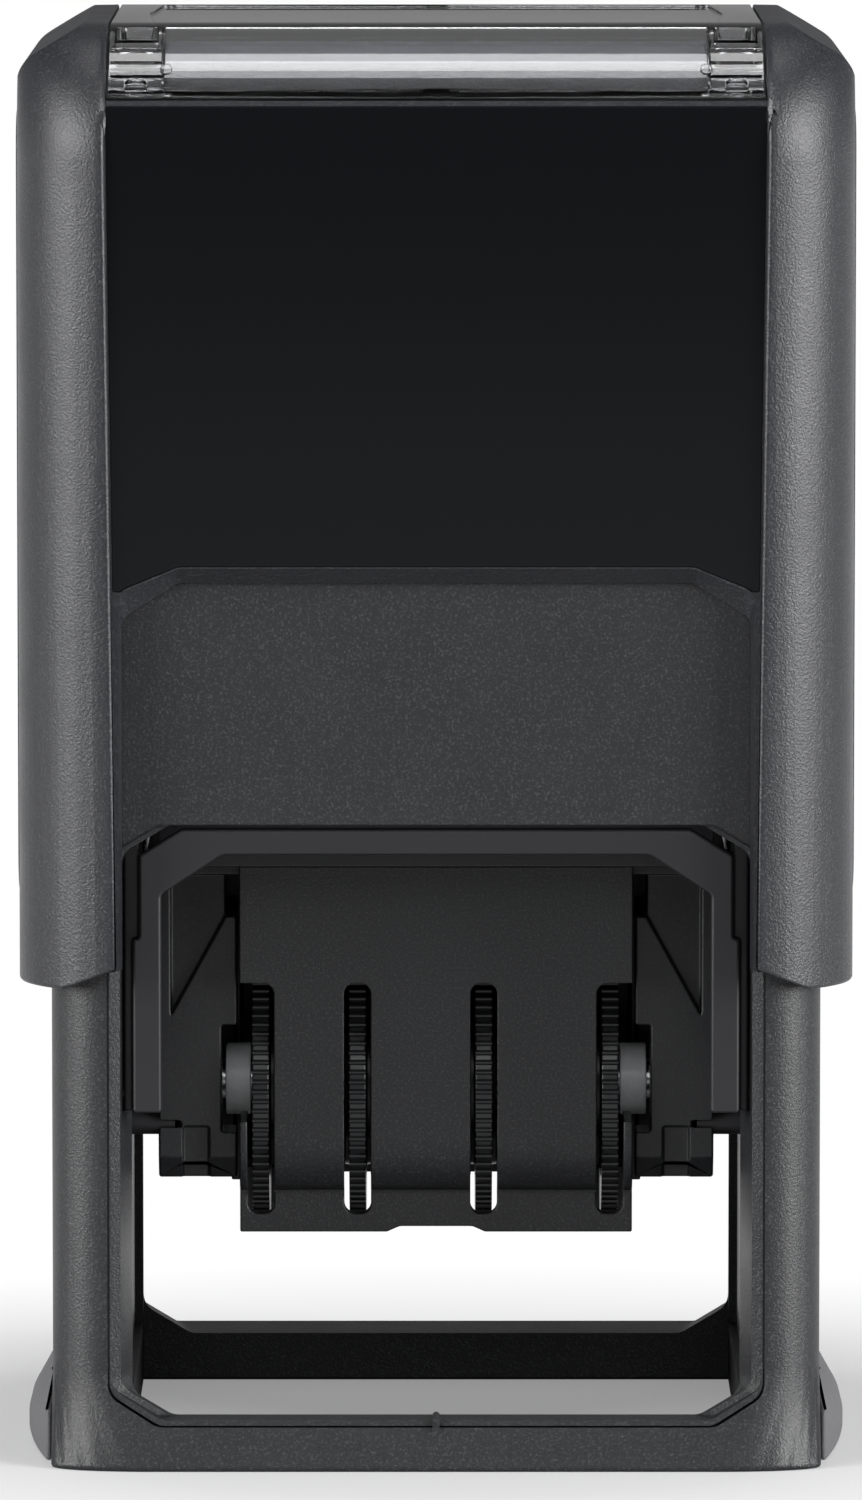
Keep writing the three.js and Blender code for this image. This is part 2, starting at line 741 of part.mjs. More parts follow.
// Return springs on the roof of the inner housing
class Helix extends THREE.Curve {
  constructor(radius, low, high, turns, x) {
    super();
    Object.assign(this, { radius, low, high, turns, x });
  }

  getPoint(share) {
    const angle = share * this.turns * 2 * Math.PI;
    return new THREE.Vector3(
      this.x + this.radius * Math.cos(angle),
      this.radius * Math.sin(angle),
      this.low + share * (this.high - this.low));
  }
}

function makeSpring(side, label) {
  const wireRadius = springWire / 2;
  const low = housingRoofTop + wireRadius + seatGap;
  const high = bridgeBottom - wireRadius - seatGap;
  const path = new Helix(springRadius, low, high, springTurns, side * springOffset);
  const section = new THREE.Shape(
    arc([0, 0], wireRadius, 0, 2 * Math.PI, springSides).slice(0, springSides)
      .map(([u, v]) => new THREE.Vector2(u, v)));
  const geometry = new THREE.ExtrudeGeometry(section, {
    extrudePath: path, steps: springTurns * springStepsPerTurn, bevelEnabled: false,
  });
  place(stamp, `return_spring_${label}`, solidFrom(geometry), springSteel);
}

// Carriage frame: a deck between two cheeks, with a groove for the flip pin in each cheek
function groovePath() {
  return Array.from({ length: grooveSteps + 1 }, (unused, step) => {
    const share = step / grooveSteps;
    const angle = share * Math.PI;
    const height = flipPinHeight - (pivotHeight - share * pressTravel);
    return [
      -flipPinOffset * Math.cos(angle) - height * Math.sin(angle),
      -flipPinOffset * Math.sin(angle) + height * Math.cos(angle),
    ];
  });
}

function grooveSolid(side) {
  const depth = onSide(side, carriageHalfWidth - grooveDepth, carriageHalfWidth + cutterOverrun);
  const radius = grooveWidth / 2;
  const path = groovePath();
  const pieces = path.map(([y, z]) => rodX(radius, depth, y, z, 2 * arcSteps));
  for (let step = 0; step < grooveSteps; step += 1) {
    const [start, finish] = [path[step], path[step + 1]];
    const length = Math.hypot(finish[0] - start[0], finish[1] - start[1]);
    const across = [
      (radius * (start[1] - finish[1])) / length,
      (radius * (finish[0] - start[0])) / length,
    ];
    pieces.push(prismX([
      [start[0] - across[0], start[1] - across[1]],
      [finish[0] - across[0], finish[1] - across[1]],
      [finish[0] + across[0], finish[1] + across[1]],
      [start[0] + across[0], start[1] + across[1]],
    ], depth));
  }
  return joined(pieces);
}

function cheekSolid(side) {
  const plate = prismX(mirroredOutline([
    [cheekFootHalfDepth, -cheekDrop],
    [cheekHalfDepth, cheekFootChamfer - cheekDrop],
    [cheekHalfDepth, deckTop],
  ]), onSide(side, carriageHalfWidth - cheekPlateThickness, carriageHalfWidth));
  const foot = arc([carriageHalfWidth - cheekFootRadius, cheekFootRadius - cheekDrop],
    cheekFootRadius, -Math.PI / 2, 0);
  const front = [
    [cheekInner, -cheekDrop],
    ...foot,
    [carriageHalfWidth, -cheekShoulderDrop],
    [carriageHalfWidth - cheekShoulderInset, -cheekShoulderDrop],
    [cheekInner + cheekNeckWidth, cheekNeckRise],
    [cheekInner + cheekNeckWidth, deckBottom],
    [cheekInner, deckBottom],
  ].map(([x, z]) => [side * x, z]);
  const blocks = ends.map((end) => prismY(front, onSide(end, cheekHalfDepth - cheekBlockDepth,
    cheekHalfDepth)));
  const wedge = prismX(mirroredOutline([
    [cheekFootHalfDepth, -cheekDrop - cutterOverrun],
    [cheekFootHalfDepth, -cheekDrop],
    [cheekHalfDepth, cheekFootChamfer - cheekDrop],
    [cheekHalfDepth, deckTop],
  ]), centred(carriageHalfWidth));
  return joined([plate, ...blocks.map((part) => part.intersect(wedge))]);
}

function makeCarriageFrame() {
  const deck = block(centred(carriageHalfWidth), centred(deckHalfDepth), [deckBottom, deckTop]);
  const pieces = [deck, ...sides.map(([side]) => cheekSolid(side))];
  const cutters = [
    block(centred(deckOpeningHalfWidth), centred(deckOpeningHalfDepth),
      [deckBottom - cutterOverrun, deckTop + cutterOverrun]),
  ];
  for (const [side] of sides) {
    const pocketEnd = cheekInner + sleevePocketWidth;
    cutters.push(
      grooveSolid(side),
      block(onSide(side, cheekInner - cutterOverrun, pocketEnd),
        [-cheekHalfDepth - cutterOverrun, sleeveRadius + runClear],
        [-sleevePocketBottom, -sleevePocketTop]),
      rodX(axleRadius + seatGap, onSide(side, pocketEnd - cutterOverrun, axleHalf + seatGap),
        0, -wheelDrop),
      rodX(pivotRadius + seatGap, onSide(side, carriageHalfWidth - pivotSeatDepth - seatGap,
        carriageHalfWidth + cutterOverrun), 0, 0),
    );
  }
  place(carriage, 'carriage_frame', cutBy(joined(pieces), cutters), satinBlack);
}

function makePivotPin(side, label) {
  const reach = onSide(side, carriageHalfWidth - pivotSeatDepth, yokeOuter);
  place(carriage, `pivot_pin_${label}`, rodX(pivotRadius, reach, 0, 0), innerBlack);
}

// Text plate and the rubber die, both with a window for the date
function makeTextPlate() {
  const plateTop = deckTop + textPlateThickness;
  const windowCut = (grow) => block(centred(dateWindowHalfWidth + grow),
    centred(dateWindowHalfDepth + grow), [deckTop - cutterOverrun, dieReach + cutterOverrun]);
  const plate = block(centred(plateHalf), centred(textPlateDepth / 2), [deckTop, plateTop]);
  const die = block(centred(plateHalf - dieMargin), centred(textPlateDepth / 2 - dieMargin),
    [plateTop, dieReach]);
  place(carriage, 'text_plate', plate.subtract(windowCut(seatGap)), satinBlack);
  place(carriage, 'text_die', die.subtract(windowCut(0)), dieRubber);
}

// Nose bar under the date window, and the bands that run from it round the wheels
function bandOutline(grow) {
  const drum = drumRadius + seatGap + grow;
  const nose = noseRadius + seatGap + grow;
  const centre = [noseHalfDepth - noseRadius, noseTop - noseRadius];
  const rise = centre[1] + wheelDrop;
  const reach = Math.hypot(centre[0], rise);
  const normal = Math.atan2(rise, centre[0]) - Math.acos((drum - nose) / reach);
  return mirroredOutline([
    ...arc([0, -wheelDrop], drum, -Math.PI / 2, normal),
    ...arc(centre, nose, normal, Math.PI / 2, arcSteps / 2),
  ]);
}

function makeNoseBar() {
  const tip = mirroredOutline([
    [noseHalfDepth, noseBottom],
    ...arc([noseHalfDepth - noseRadius, noseTop - noseRadius], noseRadius, 0, Math.PI / 2, arcSteps / 2),
  ]);
  const bar = prismX(tip, centred(dateWindowHalfWidth - noseWindowClear));
  const lugs = block(centred(deckOpeningHalfWidth + noseLugLength), centred(noseHalfDepth),
    [noseBottom, deckBottom]);
  place(carriage, 'nose_bar', bar.add(lugs), innerBlack);
}

function makeBand(number) {
  const side = bandSides[number];
  const start = wheelPlaces[number] + side * (wheelRimWidth / 2 + bandRimGap);
  const finish = start + side * bandWidths[number];
  const width = [Math.min(start, finish), Math.max(start, finish)];
  const past = [width[0] - cutterOverrun, width[1] + cutterOverrun];
  const band = prismX(bandOutline(bandThickness), width).subtract(prismX(bandOutline(0), past));
  place(carriage, `date_band_${number + 1}`, band, dieRubber);
}

// Thumb wheel: a fine-toothed rim with the drum that drives its band
function makeWheel(number) {
  const middle = wheelPlaces[number];
  const side = bandSides[number];
  const rim = [middle - wheelRimWidth / 2, middle + wheelRimWidth / 2];
  const teeth = Array.from({ length: 2 * toothCount }, (unused, step) => {
    const angle = (step * Math.PI) / toothCount;
    const radius = step % 2 ? wheelRadius - toothDepth : wheelRadius;
    return [radius * Math.cos(angle), radius * Math.sin(angle) - wheelDrop];
  });
  const drumFar = middle + side * (wheelRimWidth / 2 + bandRimGap + bandWidths[number]);
  const inner = number > 0 && number < wheelPlaces.length - 1;
  const drumNear = inner ? middle - side * (wheelRimWidth / 2 + wheelBoss) : middle;
  const drum = [Math.min(drumNear, drumFar), Math.max(drumNear, drumFar)];
  const past = [Math.min(rim[0], drum[0]) - cutterOverrun, Math.max(rim[1], drum[1]) + cutterOverrun];
  const wheel = prismX(teeth, rim)
    .add(rodX(drumRadius, drum, 0, -wheelDrop))
    .subtract(rodX(axleRadius + seatGap, past, 0, -wheelDrop));
  place(carriage, `date_wheel_${number + 1}`, wheel, innerBlack);
}

function makeAxle() {
  place(carriage, 'wheel_axle', rodX(axleRadius, centred(axleHalf), 0, -wheelDrop), springSteel);
}

function makeSleeve(side, label) {
  const outermost = side > 0 ? wheelPlaces[wheelPlaces.length - 1] : -wheelPlaces[0];
  const reach = [outermost + wheelRimWidth / 2 + seatGap, cheekInner + sleevePocketWidth - seatGap];
  const past = [reach[0] - cutterOverrun, reach[1] + cutterOverrun];
  const sleeve = rodX(sleeveRadius, onSide(side, ...reach), 0, -wheelDrop)
    .subtract(rodX(axleRadius + seatGap, onSide(side, ...past), 0, -wheelDrop));
  place(carriage, `axle_sleeve_${label}`, sleeve, sleeveGrey);
}

// Side outline of a wall in front of the wheels, which curves under them
function wheelWallOutline(face, top, bottomDrop) {
  const lip = face - shieldLipInset;
  const rise = shieldLipDrop - shieldBendDrop;
  const bend = arc([0, 0], 1, 0, Math.PI / 2, arcSteps).map(([along, down]) => [
    lip + (face - lip) * along, -shieldBendDrop - rise * down]);
  return [[face, top], ...bend, [lip, -bottomDrop]].map(([y, z]) => [-y, z]);
}

// Shield in front of the wheels, slotted for their rims
function makeShield() {
  const outer = wheelWallOutline(shieldFace, shieldTop, shieldBottomDrop);
  const inner = wheelWallOutline(shieldFace - shieldThickness, shieldTop, shieldBottomDrop);
  const skin = prismX([...outer, ...[...inner].reverse()], centred(shieldHalfWidth));
  const wallBack = -cheekHalfDepth + cheekBlockDepth;
  const wallTop = deckBottom - seatGap;
  const wallSection = [[-shieldFace, wallTop], ...outer.slice(1),
    [wallBack, -shieldBottomDrop], [wallBack, wallTop]];
  const walls = sides.map(([side]) => prismX(wallSection,
    onSide(side, shieldHalfWidth - shieldSideWall, shieldHalfWidth)));
  const slots = wheelPlaces.map((middle, number) => {
    const half = shieldSlotWidth / 2;
    const outline = shifted(roundedRectangle(half, (shieldSlotBottom - shieldSlotTop) / 2,
      half - seatGap, arcSteps / 2), middle, -(shieldSlotBottom + shieldSlotTop) / 2);
    const slot = prismY(outline, [-shieldFace - cutterOverrun, -shieldThickness]);
    const outermost = number === 0 || number === wheelPlaces.length - 1;
    const side = Math.sign(middle);
    return outermost ? slot.add(block(
      onSide(side, Math.abs(middle), shieldHalfWidth + cutterOverrun),
      [-shieldFace - cutterOverrun, 0], [-shieldSideOpenBottom, -shieldSlotTop])) : slot;
  });
  const recess = block(centred(shieldRecessWidth / 2), [-shieldFace - cutterOverrun, 0],
    [-shieldBottomDrop - cutterOverrun, shieldRecessHeight - shieldBottomDrop]);
  const shield = cutBy(joined([skin, ...walls]), [...slots, recess]);
  place(carriage, 'date_shield', shield, satinBlack);
}

// Closed guard behind the wheels
function makeGuard() {
  const face = wheelRadius + guardClear + guardThickness;
  const turned = (outline) => outline.map(([y, z]) => [-y, z]);
  const outer = turned(wheelWallOutline(face, guardTop, guardBottomDrop));
  const inner = turned(wheelWallOutline(face - guardThickness, guardTop, guardBottomDrop));
  const skin = prismX([...outer, ...[...inner].reverse()], centred(guardHalfWidth));
  const wallFront = cheekHalfDepth - cheekBlockDepth;
  const wallSection = [...outer, [wallFront, -guardBottomDrop], [wallFront, guardTop]];
  const walls = sides.map(([side]) => prismX(wallSection,
    onSide(side, shieldHalfWidth - shieldSideWall, shieldHalfWidth)));
  place(carriage, 'wheel_guard', joined([skin, ...walls]), satinBlack);
}

makeBase();
makeHousing();
makeDrawer();
makeCap();
makeCapPlates();
makeIndexWindow();
makeYoke();
for (const [side, label] of sides) {
  makeFootGrip(side, label);
  makeFlipPin(side, label);
  makeSideGrip(side, label);
  makeSpring(side, label);
  makePivotPin(side, label);
  makeSleeve(side, label);
}
makeCarriageFrame();
makeTextPlate();
makeNoseBar();
makeAxle();
makeShield();
makeGuard();
wheelPlaces.forEach((unused, number) => {
  makeBand(number);
  makeWheel(number);
});

export default stamp;
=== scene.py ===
import functools
import json
import math

import bmesh
import bpy
from bpy.props import FloatProperty, FloatVectorProperty, IntProperty, PointerProperty
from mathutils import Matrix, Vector


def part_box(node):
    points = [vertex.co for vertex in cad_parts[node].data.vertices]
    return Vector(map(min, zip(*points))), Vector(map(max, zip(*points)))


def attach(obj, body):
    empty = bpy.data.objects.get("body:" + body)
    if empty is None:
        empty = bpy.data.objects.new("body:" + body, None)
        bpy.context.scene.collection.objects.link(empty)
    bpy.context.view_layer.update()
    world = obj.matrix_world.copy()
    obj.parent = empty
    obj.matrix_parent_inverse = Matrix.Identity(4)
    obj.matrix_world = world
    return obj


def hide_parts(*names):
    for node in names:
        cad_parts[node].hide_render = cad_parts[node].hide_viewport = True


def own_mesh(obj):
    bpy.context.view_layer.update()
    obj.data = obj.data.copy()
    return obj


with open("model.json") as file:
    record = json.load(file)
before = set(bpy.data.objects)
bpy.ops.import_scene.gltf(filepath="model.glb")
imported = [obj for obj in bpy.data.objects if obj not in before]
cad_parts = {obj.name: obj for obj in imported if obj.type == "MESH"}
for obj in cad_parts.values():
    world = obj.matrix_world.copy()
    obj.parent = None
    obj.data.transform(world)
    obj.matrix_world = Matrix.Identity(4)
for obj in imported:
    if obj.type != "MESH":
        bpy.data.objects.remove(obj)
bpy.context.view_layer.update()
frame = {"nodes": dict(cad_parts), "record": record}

bl_info = {
    "name": "Date Stamp",
    "version": (1, 0, 0),
    "blender": (4, 5, 0),
    "location": "3D Viewport > Sidebar > Date Stamp",
    "description": "Builds the mouldings, window, wheels and stage of a self-inking date stamp",
    "category": "Add Mesh",
}

MM = 0.001
WELD = 0.0005 * MM  # points closer than this are one
OVERRUN = 1.0 * MM  # how far a cutter reaches past what it cuts
FLAT_ANGLE = math.radians(0.3)  # faces that lean less than this are one
SHARP_ANGLE = math.radians(32)  # edges sharper than this are rounded, or shaded sharp
ARC_STEPS = 16
CROWN_STEPS = ARC_STEPS * 2
FILLET_STEPS = 6
ROD_SIDES = 48
NEARLY_ROUND = 1.05  # half a width over the largest rounding in it
JUST_UNDER = 0.98  # keeps a rounding or a rib short of its whole width
ENDS = (-1, 1)
SIDES = (-1, 1)
SIDE_NAMES = {-1: "left", 1: "right"}

behaviour = frame["record"]["behaviour"]
BODY_OF = {node: body for body, nodes in behaviour["bodies"].items() for node in nodes}
PRESS = behaviour["joints"][0]
WHEEL_JOINTS = [joint for joint in behaviour["joints"] if joint.get("continuous")]


@functools.cache
def lower(node):
    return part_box(node)[0]


@functools.cache
def upper(node):
    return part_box(node)[1]


def srgb(code):
    """Linear red, green and blue of a hex colour."""
    parts = [int(code[place:place + 2], 16) / 255 for place in (1, 3, 5)]
    return tuple(part / 12.92 if part <= 0.04045 else ((part + 0.055) / 1.055) ** 2.4 for part in parts)


def length(name, description, millimetres):
    return FloatProperty(name=name, description=description, default=millimetres * MM,
                         unit='LENGTH', precision=5)


def colour(name, description, code):
    return FloatVectorProperty(name=name, description=description, default=srgb(code),
                               subtype='COLOR', size=3, min=0, max=1)


# Sizes and colours that a user would change
class StampBaseSizes(bpy.types.PropertyGroup):
    half_depth: length("Half depth", "Middle of the base to the face of its columns", 21.2)
    corner_radius: length("Column radius", "Outer corners of the columns", 4.2)
    flare_top: length("Flare top", "Where the foot starts to widen", 6.8)
    flat_half: length("Foot flat", "Half of the straight front of the foot", 20)
    bow: length("Foot bow", "How far the corners of the foot fall back", 2.4)
    toe: length("Toe", "Upright edge at the bottom of the foot", 0.5)
    bar_depth: length("Bar depth", "Front and rear bars of the foot", 4.4)
    bar_height: length("Bar height", "Front and rear bars of the foot", 3.5)
    bar_lip: length("Bar lip", "Upright front edge of the front bar", 1)
    bar_dip: length("Bar dip", "How far the front bar falls behind its edge", 1)
    corner_run: length("Corner run", "Slanted corner of the opening, sideways", 3.5)
    corner_rise: length("Corner rise", "Slanted corner of the opening, upwards", 2.1)
    corner_round: length("Corner rounding", "Rounds both ends of a slanted corner", 1.6)
    mouth: length("Mouth", "How much wider the opening is at its face", 0.7)
    chamfer: length("Mouth chamfer", "Depth of the slant between the opening and its line", 0.26)
    line_side: length("Side line", "Shadow line beside the opening", 0.85)
    line_below: length("Lower line", "Shadow line below the opening", 0.45)
    line_width: length("Line width", "Width of the shadow line", 0.14)
    line_depth: length("Line depth", "Depth of the shadow line", 0.18)
    panel_thickness: length("Panel thickness", "Front panel between the columns", 1.3)
    inner_skin: length("Inner skin", "Wall between the housing and the shaft", 0.8)
    end_skin: length("End skin", "Front and back walls of a column", 3.2)
    seat: length("Seat gap", "Gap round a fixed piece", 0.2)
    run: length("Running gap", "Gap beside a moving piece", 0.35)
    arch_rise: length("Back opening", "Lower edge of the opening for the drawer", 2.15)
    shaft_floor: length("Shaft floor", "Solid foot below the shafts", 4.5)
    ledge: length("Ledge", "Where the housing stands", 25)
    recess: length("Wall recess", "How deep the inner walls of the columns fall back", 0.6)
    recess_end: length("Wall recess end", "From the face of a column to the recess", 5.4)
    mark_width: length("Mark width", "Centring mark on the front bar", 0.5)
    mark_height: length("Mark height", "Centring mark on the front bar", 1.35)
    mark_drop: length("Mark drop", "Middle of the mark below the opening", 0.4)
    mark_proud: length("Mark relief", "Centring mark in front of the columns", 1.9)
    edge: length("Edge rounding", "Moulded edges of the base", 0.22)


class StampCapSizes(bpy.types.PropertyGroup):
    side_skin: length("Side skin", "Side walls of the cap", 1.7)
    side_inset: length("Side inset", "From the cap's reach to the corners of its sides", 0.5)
    side_bulge: length("Side bulge", "Swell of the cap's sides", 0.1)
    front_skin: length("Front skin", "Front and back walls of the cap", 1.2)
    corner_radius: length("Corner radius", "Upright corners of the cap", 8)
    inner_radius: length("Inner radius", "Corners inside the cap", 4.6)
    wing_width: length("Wing width", "Raised strip at each side of the face", 5.9)
    wing_step: length("Wing step", "How far the wings stand out", 0.77)
    wing_slant: length("Wing slant", "Sideways run of the step", 0.1)
    wing_spread: length("Wing spread", "Wings beyond the sides of the front plate, at its top", 0.4)
    wing_draft: length("Wing draft", "How far the wings close in towards the bottom", 0.8)
    tip_run: length("Tip run", "Slanted tip of a wing, sideways", 3.4)
    tip_rise: length("Tip rise", "Slanted tip of a wing, upwards", 1.4)
    shoulder_run: length("Shoulder run", "Slanted shoulders, sideways", 4.8)
    shoulder_rise: length("Shoulder rise", "Slanted shoulders, upwards", 2.9)
    shoulder_radius: length("Shoulder radius", "Between the sides and the shoulders", 3)
    crown_radius: length("Crown radius", "Front and back top edges", 9.3)
    roof: length("Roof", "Thickness of the roof", 3.5)
    cutout_margin: length("Cut-out margin", "From the wings to the cut-out", 1.5)
    cutout_height: length("Cut-out height", "Cut-out that shows the base", 28.6)
    cutout_run: length("Cut-out corner run", "Slanted corners, sideways", 4)
    cutout_rise: length("Cut-out corner rise", "Slanted corners, upwards", 2.5)
    cutout_round: length("Cut-out rounding", "Rounds both ends of a slanted corner", 1.2)
    rim: length("Rim bevel", "Slanted rim above the cut-out", 1.1)
    rim_side: length("Rim side bevel", "Slanted rim beside the cut-out", 0.2)
    rim_lift: length("Rim corner lift", "How much flatter the rim's outer corners are", 0.7)
    pocket: length("Pocket gap", "Gap round the glossy plates", 0.06)
    plate_radius: length("Plate radius", "Corners of the glossy plates", 0.15)
    plate_skirt: length("Plate skirt", "How far the plates reach below the top of the cut-out", 0.5)
    well_depth: length("Well depth", "Depth of the index window", 2)
    shaft_height: length("Shaft height", "Straight part of the inside", 56)
    grip_radius: length("Side grip radius", "Corners of the side grips", 3)
    grip_relief: length("Side grip relief", "How far the side grips stand out", 0.2)
    edge: length("Edge rounding", "Moulded edges of the cap", 0.28)
    fine_edge: length("Fine rounding", "Edges of the well and the pockets", 0.11)


class StampWindowSizes(bpy.types.PropertyGroup):
    cover: length("Cover thickness", "Thickness of the clear cover", 1.3)
    gap: length("Window gap", "Cover to the edge of its well", 0.2)
    lug: length("Lug width", "Clear clips at both ends of the cover", 3.8)
    card: length("Card thickness", "Thickness of the index card", 0.4)
    fold: FloatProperty(name="Fold", description="Where the card is folded on the crown, in degrees",
                        default=60)
    frame: length("Clip frame", "Width of the frames on the clips", 0.4)
    peep: length("Clip hole", "Half width of the small hole in a clip", 0.8)
    notch: length("Cover notch", "Half width of the notch in the lower edge", 0.9)
    sink: length("Sunk top", "How far the top lies below its ends", 0.2)
    edge: length("Edge rounding", "Edges of the clear cover", 0.15)


class StampGripSizes(bpy.types.PropertyGroup):
    height: length("Foot grip height", "Height of the foot grips", 3.6)
    edge_height: length("Foot grip edge", "Upright edge of the foot grips", 1.1)
    bulge: length("Foot grip bulge", "How far the foot grips stand out", 2.2)
    end: length("Foot grip end", "Thickness at the ends of the foot grips", 0.5)
    half_length: length("Foot grip length", "Half length of the foot grips", 19)
    edge: length("Edge rounding", "Edges of the grips", 0.3)


class StampCarriageSizes(bpy.types.PropertyGroup):
    half_depth: length("Cheek depth", "Middle of the carriage to the front of its cheeks", 8.2)
    block_depth: length("Block depth", "Front to back of the blocks on the cheeks", 4)
    neck: length("Neck width", "Dark gap between the shield and a cheek", 1)
    neck_rise: length("Neck rise", "Upper end of the slanted shoulder above the pivot", 1.9)
    plate: length("Cheek plate", "Thickness of a cheek behind its blocks", 2.8)
    shoulder_inset: length("Shoulder inset", "Outer end of the slanted shoulder in the cheek", 0.9)
    shoulder_drop: length("Shoulder drop", "Outer end of the slanted shoulder below the pivot", 5.2)
    sunk: length("Sunk face", "How far the face above the shoulder lies back", 0.7)
    deck: length("Deck", "From the sunk face to the text plate", 1)
    notch_side: length("Notch side", "Outer side of the notch in the foot, from the cheek's face", 1.75)
    notch_width: length("Notch width", "Notch in the foot of a cheek", 1.85)
    notch_height: length("Notch height", "Notch in the foot of a cheek", 3.8)
    notch_depth: length("Notch depth", "Notch in the foot of a cheek", 0.35)
    notch_foot: length("Notch foot", "Deeper lower end of the notch", 1.1)
    border: length("Die border", "Raised bare borders of the printing die", 1)
    die_relief: length("Die relief", "Height of the borders of the die", 0.9)
    guard_overlap: length("Guard overlap", "How far the guard reaches into the carriage", 0.8)
    tab_width: length("Guard tab", "Tabs that close the outer slots from behind", 3)
    tab_drop: length("Guard tab drop", "How far the tabs hang below the guard", 2.4)
    edge: length("Edge rounding", "Edges of the carriage's small parts", 0.12)


class StampShieldSizes(bpy.types.PropertyGroup):
    thickness: length("Thickness", "Thickness of the shield", 1.2)
    side_wall: length("Side wall", "Thickness of the side walls", 0.7)
    bend: length("Bend", "Where the shield starts to curve", 13.2)
    lip: length("Lip", "Where the curve ends in the lip", 17.8)
    lip_inset: length("Lip inset", "How far the lip falls back", 2.5)
    slot_width: length("Slot width", "Slots for the wheels", 1.9)
    slot_top: length("Slot top", "Upper end of the slots below the pivot", 2.7)
    slot_bottom: length("Slot bottom", "Lower end of the slots below the pivot", 19.6)
    open_bottom: length("Side opening", "Lower edge of the open sides below the pivot", 12.6)
    wall_top: length("Wall top", "Upper edge of the side walls above the pivot", 4.4)
    bottom: length("Bottom", "Lower edge of the shield below the pivot", 20.9)
    line: length("Lip line", "Shadow line under the curve", 0.16)
    recess_width: length("Recess width", "Hollow in the middle of the lower edge", 5.2)
    recess_height: length("Recess height", "Hollow in the middle of the lower edge", 0.4)
    recess_slant: length("Recess slant", "Slanted ends of the hollow", 0.9)
    edge: length("Edge rounding", "Moulded edges of the shield", 0.12)


class StampWheelSizes(bpy.types.PropertyGroup):
    ribs: IntProperty(name="Ribs", description="Ribs on each thumb wheel", default=90, min=12, max=200)
    rib_radius: length("Rib radius", "Roundness of a rib", 0.2)
    rim_width: length("Rim width", "Width of the ribbed rims", 1.2)
    drum_radius: length("Drum radius", "Drum that drives a band", 6.2)
    bore: length("Bore", "Hole for the axle", 1.7)
    relief: length("Figure relief", "How far the figures stand out of the bands", 0.5)
    figure: length("Figure height", "Height of the figures on the bands", 3)
    figures: IntProperty(name="Figures", description="Figures on each flank of a band", default=3,
                         min=0, max=4)
    figure_pitch: length("Figure pitch", "From figure to figure along a band", 4.3)
    nose: length("Nose radius", "Bends of a band under the date window", 2.1)
    edge: length("Edge rounding", "Edges of the wheels and bands", 0.12)


class StampSpringSizes(bpy.types.PropertyGroup):
    radius: length("Coil radius", "Middle of the wire to the middle of the coil", 3.2)
    wire: length("Wire", "Diameter of the spring wire", 0.8)
    turns: IntProperty(name="Turns", description="Turns of each return spring", default=7, min=2, max=20)


class StampFinishColours(bpy.types.PropertyGroup):
    shell: colour("Shell", "Cap and its grips", "#1A1B1F")
    base: colour("Base", "Base, foot and front panel", "#1A1B1D")
    plate: colour("Plate", "Glossy plates", "#08090B")
    inside: colour("Inside", "Inner housing and yoke", "#17171A")
    carriage: colour("Carriage", "Carriage and shield", "#18191B")
    wheel: colour("Wheel", "Thumb wheels", "#141517")
    grip: colour("Foot grip", "Grey grips on the foot", "#5C5C5E")
    sleeve: colour("Sleeve", "Sleeves on the wheel axle", "#E2E4E6")
    card: colour("Index card", "Paper behind the clear cover", "#85878C")
    rubber: colour("Rubber", "Printing die and date bands", "#38343A")
    ink: colour("Ink", "Ink pad", "#20244A")
    floor: colour("Floor", "Floor of the studio", "#9E9E9F")


class StampStageSizes(bpy.types.PropertyGroup):
    distance: length("Camera distance", "Camera to the middle of the stamp", 847.2)
    height: length("Camera height", "Camera above the paper", 139)
    aside: length("Camera aside", "Camera sideways from the middle, to the left below zero", -0.36)
    aim: length("Aim height", "Height that the camera points at", 48.45)
    lens: FloatProperty(name="Lens", description="Focal length", default=284.8, unit='CAMERA')
    floor: length("Floor size", "Side of the square floor", 6000)


# Outlines
def arc(centre, radius, start, stop, steps=ARC_STEPS):
    angles = [start + (stop - start) * step / steps for step in range(steps + 1)]
    return [(centre[0] + radius * math.cos(a), centre[1] + radius * math.sin(a)) for a in angles]


def rounded_rectangle(half_width, half_height, radius):
    corners = [(1, 1), (-1, 1), (-1, -1), (1, -1)]
    return [point for turn, (u, v) in enumerate(corners) for point in arc(
        (u * (half_width - radius), v * (half_height - radius)), radius,
        turn * math.pi / 2, (turn + 1) * math.pi / 2, ARC_STEPS // 2)]


def shifted(outline, u, v):
    return [(point[0] + u, point[1] + v) for point in outline]


def mirrored(right_half):
    """Completes an outline whose right half runs from bottom to top."""
    return right_half + [(-u, v) for u, v in reversed(right_half) if u != 0]


def four_corners(corner):
    """Completes an outline from one corner, which runs from the front to the side."""
    back = corner[::-1]
    return ([(x, -y) for x, y in corner] + back
            + [(-x, y) for x, y in corner] + [(-x, -y) for x, y in back])


def filleted(outline, radius):
    """Rounds the corners of an outline."""
    rounded = []
    for place, corner in enumerate(outline):
        here = Vector(corner)
        before = Vector(outline[place - 1]) - here
        after = Vector(outline[(place + 1) % len(outline)]) - here
        turn = math.pi - before.angle(after)
        reach = min(radius * math.tan(turn / 2), before.length / 2, after.length / 2)
        start = here + before.normalized() * reach
        stop = here + after.normalized() * reach
        for step in range(FILLET_STEPS + 1):
            share = step / FILLET_STEPS
            near = start.lerp(here, share)
            far = here.lerp(stop, share)
            rounded.append(tuple(near.lerp(far, share)))
    return rounded


# Meshes
def link(piece):
    bpy.context.scene.collection.objects.link(piece)
    return piece


def discard(piece):
    mesh = piece.data
    bpy.data.objects.remove(piece)
    bpy.data.meshes.remove(mesh)


def opened(mesh):
    edited = bmesh.new()
    edited.from_mesh(mesh)
    return edited


